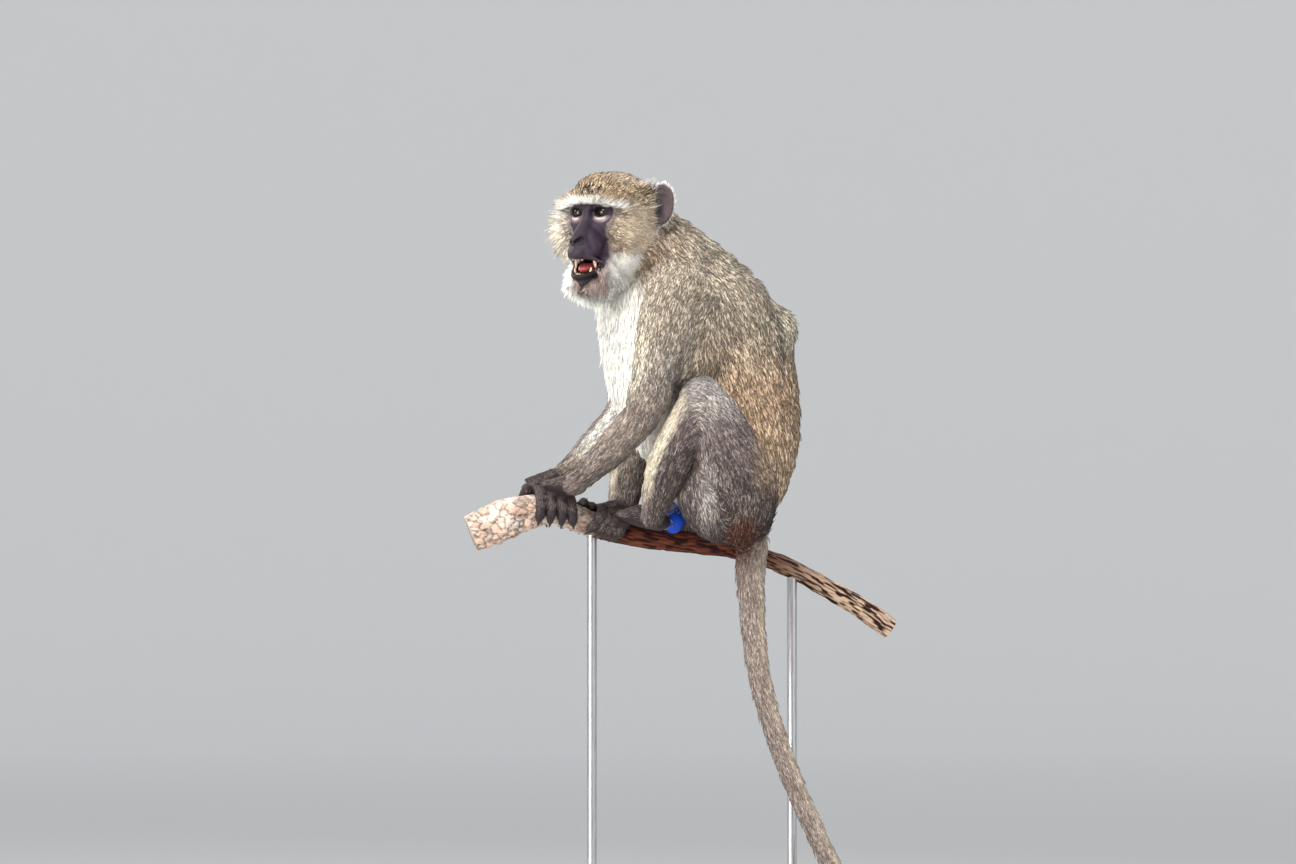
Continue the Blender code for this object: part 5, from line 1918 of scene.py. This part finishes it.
@dataclass(frozen=True)
class Locks:
    """The coat's locks: thin closed spindles that lie over each other."""

    coat: Coat
    atlas: Atlas
    fur: Material
    count: int = 345000
    most_in_a_piece: int = 49000
    patch: float = 0.003    # the size of a lock's own patch in the map
    belly: float = 0.42     # where along its length a lock is widest
    sunk: float = 0.0004    # how deep its root goes into the skin

    def grow(self) -> None:
        """Grows the whole coat, as pieces of a size that can be stored."""
        total = self.count
        dice = np.random.default_rng(SEED)
        coat, skin = self.coat, self.coat.skin
        corners = skin.faces[:, [0, 1, 2]], skin.faces[:, [0, 2, 3]]
        triangles = np.concatenate(corners)
        a, b, c = (skin.points[triangles[:, k]] for k in range(3))
        area = np.linalg.norm(np.cross(b - a, c - a), axis=1) / 2
        weight = area * coat.density[triangles].mean(axis=1)
        picked = dice.choice(len(triangles), total, p=weight / weight.sum())
        first, second = dice.random((2, total))
        over = first + second > 1
        first[over], second[over] = 1 - first[over], 1 - second[over]
        shares = np.stack([1 - first - second, first, second], axis=1)
        rows = triangles[picked]

        def here(values: Array) -> Array:
            """What the skin carries at each root."""
            return np.einsum("nk,nk...->n...", shares, values[rows])

        roots = here(skin.points)
        zone = np.argmax(here(skin.shares), axis=1)
        facts = {name: here(getattr(coat, name)) for name in (
            "colour", "length", "width", "lift", "ticking", "lie", "widow", "mask")}
        normals = unit(here(skin.normals))
        for name, chosen in self.pieces(roots, zone):
            some = {key: value[chosen] for key, value in facts.items()}
            self.lay(name, roots[chosen], normals[chosen], zone[chosen], some,
                     np.random.default_rng(SEED + len(name)))

    def pieces(self, roots: Array, zone: Array) -> list[tuple[str, Array]]:
        """Shares the roots out among pieces.

        Args:
            roots: Where the locks grow.
            zone: The number of the zone of each.

        Returns:
            Names, and which roots belong to each.
        """
        groups = {
            "coat_head": (Zone.HEAD, Zone.EAR), "coat_body": (Zone.NECK, Zone.TRUNK),
            "coat_arms": (Zone.UPPER_ARM, Zone.FOREARM, Zone.HAND),
            "coat_legs": (Zone.THIGH, Zone.SHANK, Zone.FOOT, Zone.SCROTUM),
            "coat_tail": (Zone.TAIL,),
        }
        made = []
        for name, zones in groups.items():
            chosen = np.flatnonzero(np.isin(zone, [kind.value for kind in zones]))
            chosen = chosen[np.argsort(roots[chosen, 2])]
            parts = max(1, math.ceil(len(chosen) / self.most_in_a_piece))
            for i, part in enumerate(np.array_split(chosen, parts)):
                made.append((f"{name}_{i + 1}", part))
        return made

    def lay(self, name: str, roots: Array, normals: Array, zone: Array, facts: dict[str, Array],
            dice: np.random.Generator) -> None:
        """Makes one piece of the coat.

        Args:
            name: The piece's name.
            roots: Where its locks grow.
            normals: The way out of the skin there.
            zone: The zone's number there.
            facts: What the coat is like there.
            dice: Where its chances come from.
        """
        count = len(roots)
        chance = dice.random((count, 8))
        lie = unit(flat_on(normals, facts["lie"]))
        across = np.cross(normals, lie)
        clump = drift(roots, 0.0085, 31) * 0.12 + drift(roots, 0.0030, 32) * 0.16
        wild = np.clip(facts["lift"] * 1.4, 0.15, 0.85)        # the long hair falls into locks
        stray = (chance[:, 0] - 0.5) * 0.34 + clump * wild
        way = lie * np.cos(stray)[:, None] + across * np.sin(stray)[:, None]
        across = np.cross(normals, way)
        lift = facts["lift"] * (0.5 + 0.8 * chance[:, 1] + 0.6 * wild * drift(roots, 0.0034, 33))
        length = facts["length"] * (0.66 + 0.5 * chance[:, 2] + 0.14 * drift(roots, 0.0034, 34))
        proud = (chance[:, 4] > 0.86) & (facts["lift"] > 0.35)     # longer hairs in a ruff
        lift[proud] *= 1.7
        length[proud] *= 1.32
        loose = (chance[:, 6] > 0.95) & (facts["lift"] < 0.35)     # strays in a flat coat
        lift[loose] += 0.20
        width = facts["width"] * (0.75 + 0.5 * chance[:, 3])
        width[loose | proud] *= 0.6
        rise = np.clip(lift * 1.35, 0.03, 1.35)
        hug = 0.17 * step(0.36, 0.16, facts["lift"])
        fall = np.clip(lift * 0.60 - hug, -0.11, 1.1)
        up_way = way * np.cos(rise)[:, None] + normals * np.sin(rise)[:, None]
        down_way = way * np.cos(fall)[:, None] + normals * np.sin(fall)[:, None]
        base = roots - normals * self.sunk
        middle = base + up_way * (length * self.belly)[:, None]
        tip = middle + down_way * (length * (1 - self.belly))[:, None]
        tip += across * (length * (chance[:, 4] - 0.5) * 0.16)[:, None]
        half = (width / 2)[:, None]
        points = np.stack([base, middle - across * half, middle + across * half, tip], axis=1)
        sliver = np.array([(0, 1, 2), (3, 2, 1), (0, 2, 3), (0, 3, 1)])
        faces = (sliver[None] + np.arange(count)[:, None, None] * 4).reshape(-1, 3)
        piece = mesh_object(name, points.reshape(-1, 3), faces)
        glow = 0.6 * (1 - np.minimum(facts["ticking"], 1))[:, None] * np.array((-0.8, -0.6, 0.1))
        lit = normals + glow        # light gets through white hair
        bend = np.stack([lit, lit - across * 0.7, lit + across * 0.7, lit + way * 0.2], axis=1)
        piece.data.attributes.new("custom_normal", "FLOAT_VECTOR", "POINT").data.foreach_set(
            "vector", unit(bend).astype(np.float32).ravel())
        drawn = (((tip - CORE) * lie).sum(axis=1) * 0.52)[:, None] * lie
        alike = 0.60 if name.startswith("coat_head") else 0.25
        set_tone(piece, "tone", self.tones(tip - drawn, alike, facts, chance).reshape(-1, 3))
        along = np.array((0.0, self.belly, self.belly, 1.0)) + (chance[:, 7:] - 0.7) * 0.16
        set_number(piece, "along", np.clip(along, 0, 1).ravel())
        set_number(piece, "tick", np.repeat(facts["ticking"], 4))
        self.map_patches(piece, roots, zone, faces)
        slots = {"coat_head": "white_coat", "coat_body": "olive_coat"}
        set_in(piece, slots.get(name[:-2], "grey_coat"), self.fur)

    @staticmethod
    def tones(places: Array, alike: float, facts: dict[str, Array], chance: Array) -> Array:
        """The colours of each lock at its root, its two middle points and its tip.

        Args:
            places: Where the locks' tips are, drawn together along the lie of the coat.
            alike: How far neighbours share their ticks.
            facts: What the coat is like there.
            chance: Shares from 0 to 1 for each lock.

        Returns:
            Four colours to a lock.
        """
        colour, ticking = facts["colour"], facts["ticking"][:, None]
        spread = 0.14 + 0.22 * np.minimum(ticking, 1)
        shade = 1 + spread * (chance[:, 5:6] - 0.5) + 0.04 * drift(places, 0.007, 41)[:, None]
        pick = alike * drift(places, 0.0009, 43) + (1.2 - 0.6 * alike) * (chance[:, 6] - 0.5)
        pick = pick[:, None]
        dark, pale = step(0.04, 0.26, pick), step(-0.06, -0.28, pick)
        straw = mix(colour * 1.30, Tone.CREAM.light, np.full(len(places), 0.22))
        body = mix(colour * (1 - 0.62 * dark * ticking), straw, (pale * ticking)[:, 0]) * shade
        body = mix(body, Tone.BLACK.light, facts["widow"] * step(-0.22, -0.08, pick[:, 0]))
        # each lock darker at its root: partly the hair's own darker base, partly painted shade deep
        # in the coat, kept lighter in pale hair as painted light through it
        base = body * (0.55 + 0.35 * (1 - np.minimum(ticking, 1)))
        return np.clip(np.stack([base, body, body, body * 1.05], axis=1), 0, 1)

    def map_patches(self, piece: Thing, roots: Array, zone: Array, faces: Array) -> None:
        """Gives each lock a patch of its own on an unwrap of the skin.

        Args:
            piece: The piece.
            roots: Where its locks grow.
            zone: The zone's number there.
            faces: Its faces.
        """
        spots = self.atlas.spots(roots, zone)
        shape = np.array([(0, -0.5), (-0.5, 0), (0.5, 0), (0, 0.5)]) * self.patch
        places = (spots[:, None] + shape[None]).reshape(-1, 2)
        loops = piece.data.uv_layers.new(name="OFBake")
        loops.data.foreach_set("uv", places[faces.ravel()].astype(np.float32).ravel())


# --- Eyes, teeth, tongue and claws ---
@dataclass(frozen=True)
class Eyes:
    """Two glossy eyes that look where the head faces, and a little down."""

    head: Head
    gaze: Triple = (1.0, 0.10, -0.06)
    around: int = 48
    cornea: float = 0.7         # how far the clear front bulges, in millimetres

    def build(self) -> None:
        """Makes both eyes."""
        wet = EyeFinish().make()
        gaze = unit(HEAD_TURN @ np.array(self.gaze))
        side_way = unit(np.cross(gaze, (0, 0, 1.0)))
        up_way = np.cross(side_way, gaze)
        for side in (LEFT, RIGHT):
            middle = from_head((self.head.eye_back, -side * self.head.eye_out, 0))
            rings, off_axis = [], []
            for tilt in np.radians(np.linspace(1, 179, self.around // 2 + 13)):
                bulge = self.cornea * float(step(0.75, 0.15, np.array(tilt)))
                radius = (self.head.eye_radius + bulge) * MM
                turn = full_turn(self.around)[:, None]
                spoke = side_way * np.cos(turn) + up_way * np.sin(turn)
                rings.append(middle + radius * (gaze * math.cos(tilt) + spoke * math.sin(tilt)))
                off_axis += [min(tilt, 1.0)] * self.around
            eye = mesh_object(f"{SIDE_NAMES[side]}_eyeball", *tube_mesh(rings))
            set_number(eye, "off_axis", np.array(off_axis))
            set_in(eye, "eye_glaze", wet, f"{SIDE_NAMES[side]}_eye")


@dataclass(frozen=True)
class Mouth:
    """Teeth and tongue, in millimetres in the head's own frame."""

    def build(self) -> None:
        """Makes them."""
        ivory = IVORY.make()
        upper = [((21.5 - abs(y) * 0.35, y, -43), (22.0 - abs(y) * 0.35, y, -48.6), 1.9)
                 for y in (-5.4, -1.9, 1.9, 5.4)]
        lower = [((17.2 - abs(y) * 0.35, y, -66.5), (18.2 - abs(y) * 0.35, y, -61.2), 1.5)
                 for y in (-4.2, -1.4, 1.4, 4.2)]
        for side in (-1, 1):        # the canines
            upper.append(((6.8, side * 10.9, -46.3), (5.8, side * 11.9, -56.0), 1.9))
            lower.append(((11.2, side * 8.6, -64.5), (10.6, side * 10.0, -54.8), 1.6))
        set_in(self.row("upper_teeth", upper), "ivory", ivory)
        set_in(self.row("lower_teeth", lower), "ivory", ivory)
        set_in(self.tongue(), "red_tongue", TONGUE.make(), "tongue")

    @staticmethod
    def row(name: str, teeth: list[tuple[Triple, Triple, float]]) -> Thing:
        """Joins teeth, each a tapered peg with a rounded tip.

        Args:
            name: The name of the row.
            teeth: Root, tip and radius of each.

        Returns:
            The row.
        """
        tubes = []
        for root, tip, radius in teeth:
            root, tip = from_head(root), from_head(tip)
            way = tip - root
            side = unit(np.cross(way, (0.31, 0.5, 0.81)))
            other = unit(np.cross(way, side))
            rings = []
            for share in (0, 0.35, 0.62, 0.82, 0.94, 1.0):
                size = radius * MM * math.sqrt(max(1 - share**2.2, 0.004))
                turn = full_turn(12)[:, None]
                spoke = side * np.cos(turn) + other * np.sin(turn)
                rings.append(root + way * share + spoke * size)
            tubes.append(rings)
        return mesh_object(name, *joined(tubes))

    @staticmethod
    def tongue() -> Thing:
        """A thick tongue with a groove, its tip raised behind the lower teeth."""
        rings = []
        for share in np.linspace(0, 1, 30):
            x = -14 + 29 * share
            half = 8.4 * math.sqrt(max(1 - max(share - 0.45, 0)**2 / 0.31, 0.003))
            thick = 5.4 * math.sqrt(max(1 - max(share - 0.55, 0)**2 / 0.21, 0.003))
            level = -58.2 + 2.6 * math.sin(share * 2.6)
            turn = full_turn(28)
            groove = 1.1 * np.exp(-(np.cos(turn) / 0.22)**2) * (np.sin(turn) > 0)
            height = level + thick * np.sin(turn) - groove * min(1, thick / 3)
            rings.append(from_head(np.stack([np.full(28, x), half * np.cos(turn), height], axis=1)))
        return mesh_object("tongue_body", *tube_mesh(rings))


@dataclass(frozen=True)
class Claws:
    """Narrow dark nails on the ends of the fingers and toes."""

    length: float = 0.0088

    def build(self) -> None:
        """Makes all of them as one piece."""
        tubes = []
        for side in (LEFT, RIGHT):
            for rows in Arm(side).digits() + Leg(side).digits():
                end, before, radius = rows[-1, :3], rows[-2, :3], rows[-1, 3]
                way = unit(end - before)
                middle, _ = PERCH.at(float(end[0]))
                out = end - middle
                out = unit(out - (out @ way) * way)
                across = np.cross(way, out)
                rings = []
                for share in (0.0, 0.25, 0.5, 0.75, 0.92, 1.0):
                    place = end + way * (share * self.length - 0.001)
                    place = place + out * (radius * 0.74 - 0.0030 * share**2)
                    half = radius * (0.52 - 0.22 * share) * math.sqrt(max(1 - share**4, 0.01))
                    turn = full_turn(10)[:, None]
                    rings.append(place + across * np.cos(turn) * half
                                 + out * np.sin(turn) * 0.0011 * (1.1 - share))
                tubes.append(rings)
        set_in(mesh_object("claws", *joined(tubes)), "horn", HORN.make())


# --- Stand and studio ---
@dataclass(frozen=True)
class Stand:
    """The flat base, the two rods, and the collars that hold them."""

    rods: tuple[str, ...] = ("stand_rod_front", "stand_rod_rear")

    def dress(self) -> None:
        """Finishes the solids and adds the collars."""
        steel = STEEL.make()
        for node, finish in (("stand_base", WoodFinish().make()),
                             *((rod, steel) for rod in self.rods)):
            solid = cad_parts[node]
            solid.data.materials.clear()
            solid.data.materials.append(finish)
        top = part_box("stand_base")[1][2]
        for rod in self.rods:
            low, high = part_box(rod)
            middle = ((low[0] + high[0]) / 2, (low[1] + high[1]) / 2)
            profile = ((0.0052, 0.0), (0.0150, 0.0), (0.0158, 0.0006), (0.0158, 0.0028),
                       (0.0150, 0.0036), (0.0092, 0.0042), (0.0086, 0.0050), (0.0084, 0.0120),
                       (0.0078, 0.0128), (0.0052, 0.0128))
            turn = full_turn(48)
            rings = [np.stack([middle[0] + r * np.cos(turn), middle[1] + r * np.sin(turn),
                               np.full(48, top + 0.0002 + h)], axis=1) for r, h in profile]
            shape = tube_mesh([*rings, rings[0]], closed=False)
            set_in(mesh_object(rod.replace("rod", "collar"), *shape), "rod_steel", steel)


@dataclass(frozen=True)
class Studio:
    """Camera, soft lights, and a sweep of pale paper."""

    azimuth: float = math.radians(-12)
    aim: Triple = (-0.0411, 0.0087, 0.718)
    distance: float = 8.0
    frame_width: float = 1.296
    sensor: float = 36.0

    def camera(self) -> None:
        """Sets the camera level with the animal, a little to its front."""
        data = bpy.data.cameras.new("camera")
        data.sensor_width = self.sensor
        data.lens = self.sensor * self.distance / self.frame_width
        data.clip_end = 60.0
        made = bpy.data.objects.new("camera", data)
        bpy.context.scene.collection.objects.link(made)
        away = Vector((math.sin(self.azimuth), -math.cos(self.azimuth), 0)) * self.distance
        made.location = Vector(self.aim) + away
        made.rotation_euler = (math.radians(90), 0, self.azimuth)
        bpy.context.scene.camera = made

    def paper(self) -> None:
        """Lays the floor, a wide dish whose rim bends up beyond any camera, with painted shade under
        the lamps.
        """
        profile = [(0.3, 0.0), (4.0, 0.0), (10.0, 0.0)]
        profile += [(10.0 + 3.5 * math.sin(a), 3.5 - 3.5 * math.cos(a))
                    for a in np.radians(np.arange(6, 91, 6))]
        profile.append((13.5, 5.0))
        turn = full_turn(96)
        rings = [np.stack([r * np.cos(turn), r * np.sin(turn), np.full(96, z)], axis=1)
                 for r, z in profile]
        points, faces = tube_mesh(rings, closed=False)
        points = np.concatenate([points, np.zeros((1, 3))])
        faces = list(faces) + [[len(points) - 1, (i + 1) % 96, i] for i in range(96)]
        floor = mesh_object("floor", points, faces)
        # painted shade: the paper darker near the middle, under the lamps, and paling outwards
        share = step(1.0, 9.0, np.hypot(points[:, 0], points[:, 1]))
        shade_under_lamps = np.broadcast_to(srgb(0.74, 0.74, 0.73), points.shape)
        set_tone(floor, "tone", mix(shade_under_lamps, np.array(srgb(0.96, 0.96, 0.955)), share))
        floor.data.materials.append(FloorFinish().make())

    def lamp(self, name: str, place: Triple, size: float, power: float, tint: Triple) -> None:
        """Hangs a soft square lamp that faces the animal.

        Args:
            name: Its name.
            place: Where it hangs.
            size: The side of its square.
            power: Its power in watts.
            tint: Its colour.
        """
        data = bpy.data.lights.new(name, "AREA")
        data.shape, data.size, data.energy, data.color = "SQUARE", size, power, tint
        made = bpy.data.objects.new(name, data)
        bpy.context.scene.collection.objects.link(made)
        made.location = place
        aim = Vector((0, 0, 0.75)) - Vector(place)
        made.rotation_euler = aim.to_track_quat("-Z", "Y").to_euler()

    def light(self) -> None:
        """Lights it softly from the front left, with a paler edge from behind."""
        self.lamp("key", (-1.8, -2.6, 3.9), 2.0, 188, (1.0, 0.98, 0.95))
        self.lamp("fill", (3.4, -2.8, 1.6), 2.6, 40, (0.93, 0.96, 1.0))
        self.lamp("side", (-3.4, -1.8, 0.6), 1.8, 95, (1.0, 0.98, 0.95))
        self.lamp("edge", (2.0, 2.2, 3.0), 1.6, 110, (1.0, 0.98, 0.94))
        self.lamp("back", (-2.4, 2.0, 2.6), 1.8, 60, (1.0, 0.98, 0.95))
        world = bpy.data.worlds.new("studio")
        world.use_nodes = True
        sky = world.node_tree.nodes["Background"]
        sky.inputs["Color"].default_value = (0.92, 0.95, 1.0, 1)
        sky.inputs["Strength"].default_value = 0.57
        bpy.context.scene.world = world
        bpy.context.scene.view_settings.view_transform = "Standard"


def main() -> None:
    """Builds every piece in order."""
    logging.basicConfig(level=logging.INFO, format="%(message)s")
    studio = Studio()
    studio.camera()
    studio.light()
    studio.paper()
    Stand().dress()
    set_in(PERCH.build(), "bark", BarkFinish().make(), "perch_branch")
    skin = Skin()
    skin.shape()
    LOG.info("skin shaped: %d faces", len(skin.faces))
    skin.survey()
    coat = Coat(skin)
    coat.settle()
    LOG.info("markings laid")
    hide = mesh_object("skin", skin.points, skin.faces)
    set_tone(hide, "tone", coat.under)
    set_number(hide, "dullness", coat.dullness)
    set_in(hide, "dark_skin", HideFinish().make(), *FLESH)
    Eyes(skin.head).build()
    Mouth().build()
    Claws().build()
    Locks(coat, Atlas(skin), FurFinish().make()).grow()


if __name__ == "__main__":
    main()
